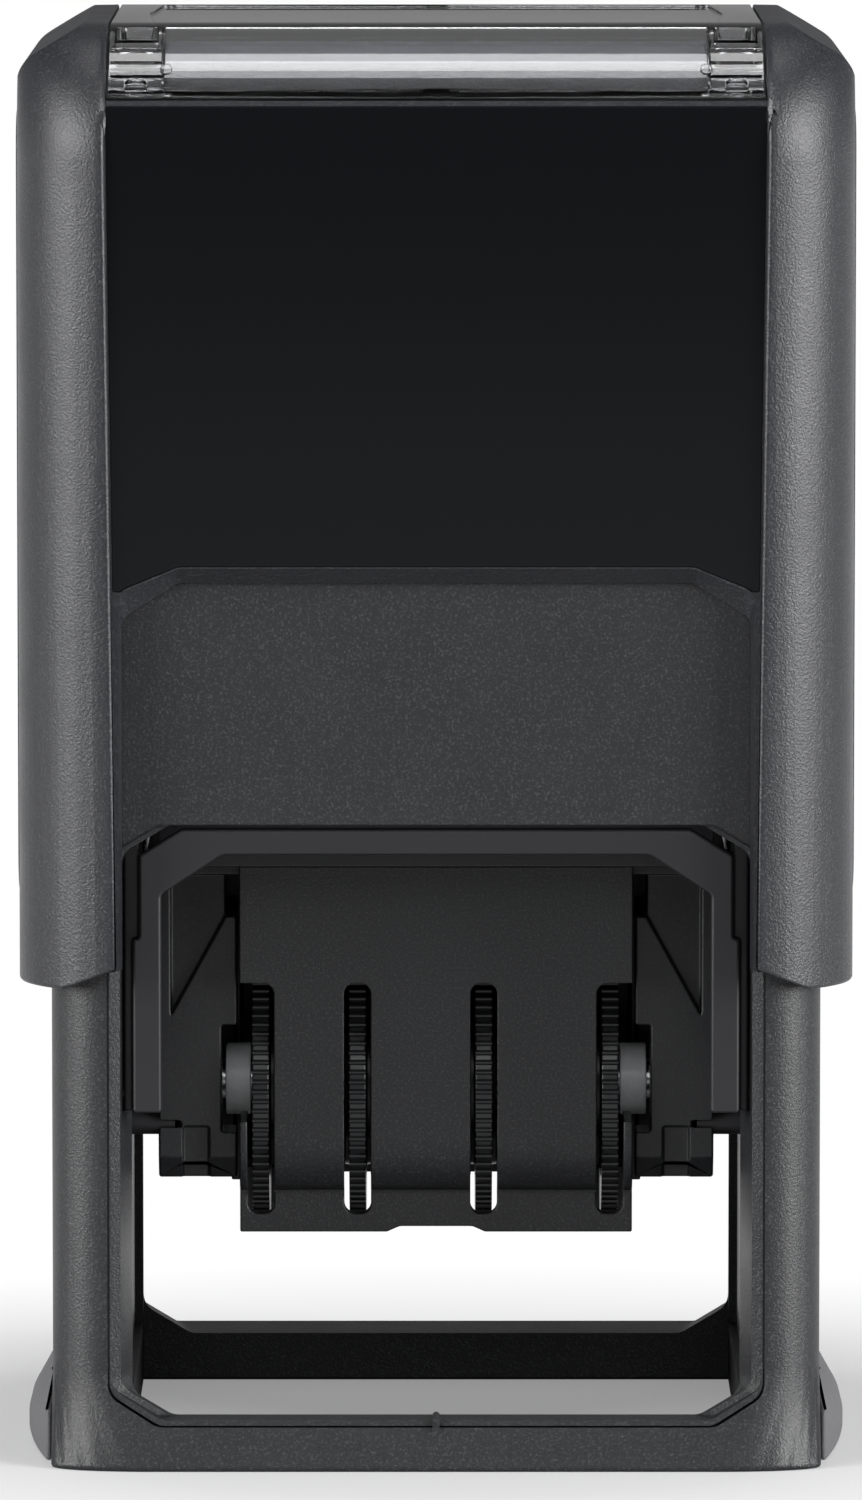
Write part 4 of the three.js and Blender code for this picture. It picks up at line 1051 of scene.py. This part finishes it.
class STAMP_OT_window(bpy.types.Operator):
    """Build the clear cover in the crown, with its clips, and the index card under it"""
    bl_idname = "stamp.window"
    bl_label = "Index window"

    def execute(self, context):
        sizes = context.scene.stamp_window
        cap = context.scene.stamp_cap
        cover_low, cover_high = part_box("index_cover")
        half = cover_high.x
        inner = half - sizes.lug
        middle = half - sizes.lug / 2
        crown_depth = upper("cap_shell").y - cap.crown_radius
        below = lower("cap_shell").z - OVERRUN
        cover = crown_layer(cap, 0, sizes.cover, half, cover_low.z)
        thick = crown_layer(cap, 0, cap.well_depth - sizes.gap, half, cover_low.z)
        above = cover_high.z + OVERRUN
        clips = block(centred(half + OVERRUN), centred(cover_high.y * 2), (below, above))
        between = block(centred(inner), centred(cover_high.y * 3), (below - OVERRUN, above + OVERRUN))
        common(thick, [carve(clips, [between])])
        merge(cover, [thick])
        ramp = sizes.sink * RAMP_RUN
        sunk = mirrored([(inner + ramp / 2, -crown_depth), (inner + ramp, 0),
                         (inner + ramp / 2, crown_depth)])
        cutters = [prism(sunk, 'Z', cover_high.z - sizes.sink, cover_high.z + OVERRUN)]
        deep = -sizes.cover * FORM_DEPTH
        for end in ENDS:
            cutters.append(crown_patch(cap, end, 0, NOTCH_ENDS, sizes.notch, sizes.edge, -sizes.sink))
            for side in SIDES:
                place = side * middle
                wide = sizes.lug / 2 - sizes.frame
                cutters += [
                    crown_patch(cap, end, place, FRAME_ENDS, wide, sizes.frame, deep),
                    crown_patch(cap, end, place, PEEP_ENDS, sizes.peep, sizes.frame, deep / 2),
                    crown_patch(cap, end, side * inner, SEAM_ENDS, sizes.frame / 4, sizes.frame,
                                deep / 2),
                ]
                cutters += [crown_patch(cap, end, place, (angle, angle + RIB_SPAN),
                                        sizes.lug / 2 - sizes.edge, sizes.edge / 2, -sizes.frame)
                            for angle in RIB_STARTS]
                cutters += [crown_patch(cap, end, place + shift * sizes.peep, FOOT_ENDS,
                                        sizes.frame, sizes.edge, deep / 2) for shift in FOOT_SHIFTS]
        carve(cover, cutters)
        knobs = [crown_patch(cap, end, side * (inner - sizes.frame / 2), KNOB_ENDS, sizes.frame,
                             sizes.frame, -sizes.frame, sizes.edge)
                 for end in ENDS for side in SIDES]
        merge(cover, knobs)
        soften(cover, sizes.edge / 2, 2)
        finished(cover, "clear_cover", finish("clear_polystyrene"), "index_cover")

        card_low = lower("index_card")
        fold = math.radians(sizes.fold)
        inset = cap.well_depth - sizes.card
        profiles = []
        for depth in (inset, cap.well_depth):
            radius = cap.crown_radius - depth
            centre = (crown_depth, cover_high.z - cap.crown_radius)
            low_turn = math.asin((card_low.z - centre[1]) / (cap.crown_radius - inset))
            profiles.append(arc(centre, radius, low_turn, fold) + [(centre[0], centre[1] + radius)])
        outer, hollow = profiles
        band = outer + [(-u, v) for u, v in reversed(outer)] + [(-u, v) for u, v in hollow]
        band += list(reversed(hollow))
        card = prism(band, 'X', *centred(inner - sizes.gap))
        soften(card, 0)
        finished(card, "paper_card", finish("uncoated_paper"), "index_card")
        return {'FINISHED'}


# Carriage
def shaped_cheeks(sizes, body):
    """Closes the cheeks above their slanted shoulders, a little sunk, and notches their feet."""
    outer = upper("carriage_frame").x
    foot = lower("carriage_frame").z
    pin_low, pin_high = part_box("pivot_pin_right")
    pivot = (pin_low.z + pin_high.z) / 2
    top = lower("text_plate").z - sizes.deck
    inner = upper("date_shield").x - OVERRUN
    neck = upper("date_shield").x + sizes.neck
    face = sizes.half_depth - sizes.sunk
    back = sizes.half_depth - sizes.block_depth
    past = sizes.half_depth + OVERRUN
    shoulder = outer - sizes.shoulder_inset
    notch = outer - sizes.notch_side
    fills, cutters = [], []
    for end in ENDS:
        for side in SIDES:
            fills.append(block(on_side(side, neck, outer - sizes.plate / 2), on_side(end, back, face),
                               (pivot - sizes.shoulder_drop, top)))
            sunk = [(shoulder, pivot - sizes.shoulder_drop), (shoulder, top), (neck, top),
                    (neck, pivot + sizes.neck_rise)]
            cutters.append(prism([(side * u, v) for u, v in sunk], 'Y', *on_side(end, face, past)))
            cutters.append(block(on_side(side, inner, neck), on_side(end, back, past),
                                 (pivot + sizes.neck_rise, top)))
            for height, depth in ((sizes.notch_height, sizes.notch_depth),
                                  (sizes.notch_foot, sizes.notch_foot + sizes.notch_depth)):
                cutters.append(block(on_side(side, notch - sizes.notch_width, notch),
                                     on_side(end, sizes.half_depth - depth, past),
                                     (foot - OVERRUN, foot + height)))
    merge(body, fills)
    return carve(body, cutters)


FRAME_EDGE = 1.5  # rounding of the frame over that of the carriage's small parts


class STAMP_OT_carriage(bpy.types.Operator):
    """Build the carriage frame, text plate, die, nose bar, axle and sleeves"""
    bl_idname = "stamp.carriage"
    bl_label = "Carriage"

    def execute(self, context):
        sizes = context.scene.stamp_carriage
        edge = sizes.edge
        body = shaped_cheeks(sizes, cad_copy("carriage_frame"))
        soften(body, edge * FRAME_EDGE)
        finished(body, "carriage_moulding", finish("satin_acetal"), "carriage_frame")
        dress("text_plate", "text_plate_moulding", "satin_acetal", edge)
        die = cad_copy("text_die")
        top = upper("text_die")
        window = upper("date_band_4").x + sizes.border
        low = top.z - sizes.die_relief
        field = block(centred(top.x - sizes.border), centred(top.y - sizes.border),
                      (low, top.z + OVERRUN))
        island = block(centred(window + sizes.border), centred(upper("nose_bar").y + sizes.border * 2),
                       (low - OVERRUN, top.z + OVERRUN * 2))
        carve(die, [carve(field, [island])])
        soften(die, edge)
        finished(die, "die_moulding", finish("moulded_rubber"), "text_die")
        dress("nose_bar", "nose_bar_moulding", "satin_acetal", edge)
        guard = cad_copy("wheel_guard")
        for corner in guard.data.vertices:
            corner.co.x += math.copysign(sizes.guard_overlap, corner.co.x)
        guard_low = lower("wheel_guard")
        reach = upper("date_shield").x
        tabs = [block(on_side(side, reach - sizes.tab_width, reach),
                      (guard_low.y + edge, guard_low.y + sizes.guard_overlap),
                      (guard_low.z - sizes.tab_drop, guard_low.z + OVERRUN)) for side in SIDES]
        merge(guard, tabs)
        soften(guard, edge)
        finished(guard, "guard_moulding", finish("satin_acetal"), "wheel_guard")
        dress("wheel_axle", "axle_turned", "drawn_steel", edge)
        for side in SIDES:
            label = SIDE_NAMES[side]
            dress("axle_sleeve_" + label, "sleeve_turned_" + label, "turned_acetal", edge)
        return {'FINISHED'}


def shield_outline(sizes, inset):
    """Side outline of the shield as (y, z), from its top to its lower edge."""
    low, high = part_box("date_shield")
    pivot = low.z + sizes.bottom
    face = -low.y - inset
    lip = face - sizes.lip_inset
    bend = [(lip + (face - lip) * along, pivot - sizes.bend - (sizes.lip - sizes.bend) * down)
            for along, down in arc((0, 0), 1, 0, math.pi / 2)]
    return [(-y, z) for y, z in [(face, high.z), *bend, (lip, low.z)]]


SLOT_ROUNDING = 0.8  # rounding of a slot's ends over half its width


class STAMP_OT_shield(bpy.types.Operator):
    """Build the slotted shield in front of the thumb wheels"""
    bl_idname = "stamp.shield"
    bl_label = "Shield"

    def execute(self, context):
        sizes = context.scene.stamp_shield
        low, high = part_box("date_shield")
        pivot = low.z + sizes.bottom
        before = low.y - OVERRUN
        outer = shield_outline(sizes, 0)
        inner = shield_outline(sizes, sizes.thickness)
        shield = prism(outer + inner[::-1], 'X', *centred(high.x))
        wall_top = pivot + sizes.wall_top
        section = [(low.y, wall_top), *outer[1:], (high.y, low.z), (high.y, wall_top)]
        merge(shield, [prism(section, 'X', *on_side(side, high.x - sizes.side_wall, high.x))
                       for side in SIDES])
        cutters = []
        for joint in WHEEL_JOINTS:
            middle = joint["pos_m"][0]
            half = sizes.slot_width / 2
            outline = shifted(
                rounded_rectangle(half, (sizes.slot_bottom - sizes.slot_top) / 2, half * SLOT_ROUNDING),
                middle, pivot - (sizes.slot_bottom + sizes.slot_top) / 2)
            cutters.append(prism(outline, 'Y', before, -sizes.thickness))
            if joint in (WHEEL_JOINTS[0], WHEEL_JOINTS[-1]):
                side = 1 if middle > 0 else -1
                cutters.append(block(on_side(side, abs(middle), high.x + OVERRUN), (before, 0),
                                     (pivot - sizes.open_bottom, pivot - sizes.slot_top)))
        run = sizes.recess_width / 2
        cutters.append(prism(filleted(mirrored([
            (run + sizes.recess_slant * 2, low.z - OVERRUN), (run + sizes.recess_slant, low.z),
            (run, low.z + sizes.recess_height)]), sizes.recess_slant), 'Y', before, 0))
        carve(shield, cutters)
        soften(shield, sizes.edge)
        line = pivot - sizes.lip - sizes.line
        lip_face = outer[-1][0]
        carve(shield, [block(centred(high.x + OVERRUN), (before, lip_face + sizes.line / 2),
                             (line - sizes.line / 2, line + sizes.line / 2))])
        soften(shield, 0)
        finished(shield, "shield_moulding", finish("coarse_matt_abs"), "date_shield")
        return {'FINISHED'}


# Wheels and bands
RIB_SIDES = 10
SPIRAL_STEPS = 40
WIRE_SIDES = 16


def open_tree(name, **inputs):
    """A Geometry Nodes tree with named inputs, a finish to paint it and one mesh as its result."""
    tree = bpy.data.node_groups.new(name, 'GeometryNodeTree')
    for label, kind in (*inputs.items(), ("Finish", 'Material')):
        tree.interface.new_socket(label.replace("_", " "), in_out='INPUT',
                                  socket_type='NodeSocket' + kind)
    tree.interface.new_socket("Result", in_out='OUTPUT', socket_type='NodeSocketGeometry')
    return tree, add(tree, 'NodeGroupInput').outputs


def close_tree(tree, given, geometry):
    real = add(tree, 'GeometryNodeRealizeInstances', {'Geometry': geometry})
    painted = add(tree, 'GeometryNodeSetMaterial', {'Geometry': real, 'Material': given["Finish"]})
    add(tree, 'NodeGroupOutput', {'Result': painted})
    return tree


def ribbed_rim_tree():
    """Puts rounded ribs round a rim, as many as its Ribs input says."""
    tree, given = open_tree("ribbed_rim", Rim='Geometry', Ribs='Int', Radius='Float', Rib_radius='Float',
                            Rib_length='Float', Centre='Vector')
    across = (0, math.pi / 2, 0)
    circle = add(tree, 'GeometryNodeMeshCircle', {'Vertices': given["Ribs"], 'Radius': given["Radius"]})
    upright = add(tree, 'GeometryNodeTransform', {
        'Geometry': circle, 'Translation': given["Centre"], 'Rotation': across})
    rib = add(tree, 'GeometryNodeMeshCylinder', {
        'Vertices': RIB_SIDES, 'Radius': given["Rib radius"], 'Depth': given["Rib length"]})
    lying = add(tree, 'GeometryNodeTransform', {'Geometry': rib, 'Rotation': across})
    placed = add(tree, 'GeometryNodeInstanceOnPoints', {'Points': upright, 'Instance': lying})
    together = add(tree, 'GeometryNodeJoinGeometry', {'Geometry': placed})
    tree.links.new(given["Rim"], together.inputs['Geometry'])
    return close_tree(tree, given, together)


def coil_tree():
    """Winds a round wire into a coil."""
    tree, given = open_tree("wire_coil", Seed='Geometry', Turns='Float', Radius='Float',
                            Wire_radius='Float', Height='Float', Foot='Vector')
    spiral = add(tree, 'GeometryNodeCurveSpiral', {
        'Resolution': SPIRAL_STEPS, 'Rotations': given["Turns"], 'Start Radius': given["Radius"],
        'End Radius': given["Radius"], 'Height': given["Height"]})
    placed = add(tree, 'GeometryNodeTransform', {'Geometry': spiral, 'Translation': given["Foot"]})
    section = add(tree, 'GeometryNodeCurvePrimitiveCircle', {
        'Resolution': WIRE_SIDES, 'Radius': given["Wire radius"]})
    wire = add(tree, 'GeometryNodeCurveToMesh', {
        'Curve': placed, 'Profile Curve': section, 'Fill Caps': True})
    return close_tree(tree, given, wire)


def grown(piece, tree, values):
    """Runs a node tree on a piece with its inputs set by name, and keeps the result."""
    modifier = piece.modifiers.new("grow", 'NODES')
    modifier.node_group = tree
    for item in tree.interface.items_tree:
        if item.name in values:
            modifier[item.identifier] = values[item.name]
    return settle(piece)


FONT_SCALE = 1.4  # size of the font over the height of its figures
FIGURE_STEPS = 3


def raised_figure(text, height, relief, place, up, out):
    """A plain figure on a band, mirrored so that it prints the right way round."""
    curve = bpy.data.curves.new("figure", 'FONT')
    curve.body = text
    curve.size = height * FONT_SCALE
    curve.align_x = 'CENTER'
    curve.align_y = 'CENTER'
    curve.resolution_u = FIGURE_STEPS
    curve.extrude = relief
    holder = link(bpy.data.objects.new("figure", curve))
    graph = bpy.context.evaluated_depsgraph_get()
    mesh = bpy.data.meshes.new_from_object(holder.evaluated_get(graph))
    bpy.data.objects.remove(holder)
    bpy.data.curves.remove(curve)
    across = out.cross(up)
    for corner in mesh.vertices:
        u, v, w = corner.co
        corner.co = place + across * u + up * v + out * w
    edited = opened(mesh)
    bpy.data.meshes.remove(mesh)
    bmesh.ops.remove_doubles(edited, verts=edited.verts, dist=WELD)
    bmesh.ops.recalc_face_normals(edited, faces=edited.faces)
    return object_from(edited)


def band_places(sizes, node):
    """Number, place, upwards and outwards of each figure, over the nose and down both flanks."""
    low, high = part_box(node)
    bar = upper("nose_bar")
    middle = (low.x + high.x) / 2
    drum = Vector((0, 0, low.z + high.y))
    nose = Vector((0, bar.y + high.z - bar.z - sizes.nose, high.z - sizes.nose))
    gap = nose - drum
    tilt = math.atan2(gap.z, gap.y) - math.acos((high.y - sizes.nose) / gap.length)
    out = Vector((0, math.cos(tilt), math.sin(tilt)))
    start = nose + out * sizes.nose
    down = (drum + out * high.y - start).normalized()
    bend = nose.y + sizes.nose * (math.pi / 2 - tilt)
    places = [(0, Vector((middle, 0, high.z)), Vector((0, 1, 0)), Vector((0, 0, 1)))]
    for step in range(1, sizes.figures + 1):
        there = start + down * (sizes.figure_pitch * step - bend)
        places += [(end * step, Vector((middle, end * there.y, there.z)),
                    Vector((0, down.y, end * down.z)), Vector((0, end * out.y, out.z)))
                   for end in ENDS]
    return places


RIM_SIDES = 96
DRUM_SIDES = 64
FIRST_FIGURES = (12, 1, 0, 26)  # on top of each band
TWO_DIGITS = 1.2  # a band wider than this share of a figure's height carries two digits
TALLEST = 1.15  # height of a figure over the width that one digit has


class STAMP_OT_wheels(bpy.types.Operator):
    """Build the ribbed thumb wheels and the date bands"""
    bl_idname = "stamp.wheels"
    bl_label = "Thumb wheels and bands"

    def execute(self, context):
        sizes = context.scene.stamp_wheels
        tree = ribbed_rim_tree()
        for joint in WHEEL_JOINTS:
            number = joint["child"][-1]
            node = "date_wheel_" + number
            low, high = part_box(node)
            place, _, centre = joint["pos_m"]
            radius = (high.z - low.z) / 2
            half = sizes.rim_width / 2
            rim = rod(radius - sizes.rib_radius, 'X', place - half, place + half, 0, centre, RIM_SIDES)
            drum = (min(low.x, place), max(high.x, place))
            merge(rim, [rod(sizes.drum_radius, 'X', *drum, 0, centre, DRUM_SIDES)])
            carve(rim, [rod(sizes.bore, 'X', drum[0] - OVERRUN, drum[1] + OVERRUN, 0, centre)])
            soften(rim, sizes.edge)
            grown(rim, tree, {
                "Ribs": sizes.ribs, "Radius": radius - sizes.rib_radius,
                "Rib radius": sizes.rib_radius, "Rib length": sizes.rim_width * JUST_UNDER,
                "Centre": (place, 0, centre), "Finish": finish("polished_acetal")})
            finished(rim, "thumb_wheel_" + number, finish("polished_acetal"), node)
        for place, first in enumerate(FIRST_FIGURES):
            node = f"date_band_{place + 1}"
            width = upper(node).x - lower(node).x
            digits = 2 if width > sizes.figure * TWO_DIGITS else 1
            height = min(sizes.figure, width / digits * TALLEST)
            figures = [raised_figure(str((first + step) % 10 ** digits).zfill(digits), height,
                                     sizes.relief, there, up, out)
                       for step, there, up, out in band_places(sizes, node)]
            band = soften(cad_copy(node), sizes.edge)
            merge(band, figures)
            soften(band, 0)
            finished(band, f"band_rubber_{place + 1}", finish("moulded_rubber"), node)
        return {'FINISHED'}


class STAMP_OT_springs(bpy.types.Operator):
    """Wind the return springs as coils of one fixed length"""
    bl_idname = "stamp.springs"
    bl_label = "Return springs"

    def execute(self, context):
        sizes = context.scene.stamp_springs
        tree = coil_tree()
        for side in SIDES:
            node = "return_spring_" + SIDE_NAMES[side]
            low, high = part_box(node)
            height = high.z - low.z
            middle = (low.x + high.x) / 2
            seed = object_from(bmesh.new())
            grown(seed, tree, {
                "Turns": float(sizes.turns), "Radius": sizes.radius, "Wire radius": sizes.wire / 2,
                "Height": height - sizes.wire, "Foot": (middle, 0, low.z + sizes.wire / 2),
                "Finish": finish("drawn_steel")})
            seed.data.shade_smooth()
            finished(seed, "coil_" + SIDE_NAMES[side], finish("drawn_steel"), node)
            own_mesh(seed)
        return {'FINISHED'}


# Stage
# Light of the room by direction: its walls from the front to the back, and its ceiling
WALL_TURN, WALL_LEVELS = (-0.7, 0.4), (0.08, 0.26)
CEILING_RISE, CEILING_LEVELS = 0.6, (1.0, 0.4)
FILL_LEVEL = 0.36  # the room's light on matt faces


def studio_world():
    """White behind the stamp, plain soft light on it, and a dimmer room in front of it."""
    world = bpy.data.worlds.new("studio")
    world.use_nodes = True
    tree = world.node_tree
    tree.nodes.clear()
    way = add(tree, 'ShaderNodeTexCoord').outputs['Generated']
    parts = add(tree, 'ShaderNodeSeparateXYZ', {'Vector': way})
    walls = add(tree, 'ShaderNodeMapRange', {
        'Value': parts.outputs['Y'], 'From Min': WALL_TURN[0], 'From Max': WALL_TURN[1],
        'To Min': WALL_LEVELS[0], 'To Max': WALL_LEVELS[1]})
    ceiling = add(tree, 'ShaderNodeMapRange', {
        'Value': parts.outputs['Z'], 'From Max': CEILING_RISE,
        'To Min': CEILING_LEVELS[0], 'To Max': CEILING_LEVELS[1]})
    room = add(tree, 'ShaderNodeMath', {
        0: walls, 1: ceiling}, operation='MULTIPLY')
    path = add(tree, 'ShaderNodeLightPath').outputs
    shiny = add(tree, 'ShaderNodeMath', {
        0: path['Is Glossy Ray'], 1: path['Is Transmission Ray']}, operation='MAXIMUM')
    fill = add(tree, 'ShaderNodeMix', {
        'Factor': shiny, 2: FILL_LEVEL, 3: room})
    level = add(tree, 'ShaderNodeMix', {'Factor': path['Is Camera Ray'], 2: fill, 3: 1.0})
    light = add(tree, 'ShaderNodeBackground', {'Color': (1, 1, 1, 1), 'Strength': level})
    add(tree, 'ShaderNodeOutputWorld', {'Surface': light})
    return world


# Soft lights: place in metres, width and height in metres, and watts
LIGHTS = {
    "side_light_left": ((-0.88, -0.42, 0.22), 0.42, 0.8, 18.0),
    "side_light_right": ((0.88, -0.42, 0.22), 0.42, 0.8, 23.0),
    "top_light": ((0, 0, 0.9), 0.7, 0.3, 3.8),
    "front_light": ((0, -1.1, 0.5), 0.6, 0.3, 1.7),
}
LIT_MIDDLE = (0, 0, 55 * MM)
FLOOR_DROP = 0.01 * MM  # keeps the floor off the foot
SENSOR_WIDTH = 36
NEAREST, FARTHEST = 0.01, 20  # what the camera sees, in metres


def softbox(name, place, width, height, watts):
    lamp = bpy.data.lights.new(name, 'AREA')
    lamp.shape = 'RECTANGLE'
    lamp.size = width
    lamp.size_y = height
    lamp.energy = watts
    holder = link(bpy.data.objects.new(name, lamp))
    holder.location = place
    holder.rotation_euler = (Vector(LIT_MIDDLE) - Vector(place)).to_track_quat('-Z', 'Y').to_euler()


class STAMP_OT_stage(bpy.types.Operator):
    """Set up the floor, the soft lights and the camera"""
    bl_idname = "stamp.stage"
    bl_label = "Stage"

    def execute(self, context):
        sizes = context.scene.stamp_stage
        scene = context.scene
        edited = bmesh.new()
        bmesh.ops.create_grid(edited, x_segments=2, y_segments=2, size=sizes.floor / 2)
        floor = object_from(edited, "floor")
        for corner in floor.data.vertices:
            corner.co.z = -FLOOR_DROP
        floor.data.materials.append(finish("studio_floor"))
        scene.world = studio_world()
        scene.view_settings.view_transform = 'Standard'

        for name, settings in LIGHTS.items():
            softbox(name, *settings)

        camera = bpy.data.cameras.new("camera")
        camera.lens = sizes.lens
        camera.sensor_width = SENSOR_WIDTH
        camera.clip_start = NEAREST
        camera.clip_end = FARTHEST
        viewer = link(bpy.data.objects.new("camera", camera))
        viewer.location = (sizes.aside, -sizes.distance, sizes.height)
        aim = Vector((sizes.aside, 0, sizes.aim))
        viewer.rotation_euler = (aim - viewer.location).to_track_quat('-Z', 'Y').to_euler()
        scene.camera = viewer
        return {'FINISHED'}


STEPS = (
    STAMP_OT_stage, STAMP_OT_base, STAMP_OT_foot_grips, STAMP_OT_inner_parts, STAMP_OT_cap,
    STAMP_OT_window, STAMP_OT_carriage, STAMP_OT_shield, STAMP_OT_wheels, STAMP_OT_springs,
)


class STAMP_PT_panel(bpy.types.Panel):
    """Lists the steps that build the stamp"""
    bl_idname = "STAMP_PT_panel"
    bl_label = "Date Stamp"
    bl_space_type = 'VIEW_3D'
    bl_region_type = 'UI'
    bl_category = "Date Stamp"

    def draw(self, context):
        for step in STEPS:
            self.layout.operator(step.bl_idname)


GROUPS = {
    "stamp_base": StampBaseSizes,
    "stamp_cap": StampCapSizes,
    "stamp_window": StampWindowSizes,
    "stamp_grips": StampGripSizes,
    "stamp_carriage": StampCarriageSizes,
    "stamp_shield": StampShieldSizes,
    "stamp_wheels": StampWheelSizes,
    "stamp_springs": StampSpringSizes,
    "stamp_colours": StampFinishColours,
    "stamp_stage": StampStageSizes,
}


def register():
    for name, group in GROUPS.items():
        bpy.utils.register_class(group)
        setattr(bpy.types.Scene, name, PointerProperty(type=group))
    for kind in (*STEPS, STAMP_PT_panel):
        bpy.utils.register_class(kind)


def unregister():
    for kind in (STAMP_PT_panel, *reversed(STEPS)):
        bpy.utils.unregister_class(kind)
    for name, group in reversed(GROUPS.items()):
        delattr(bpy.types.Scene, name)
        bpy.utils.unregister_class(group)


def main():
    register()
    for step in STEPS:
        getattr(bpy.ops.stamp, step.bl_idname.split(".")[1])()


if __name__ == "__main__":
    main()
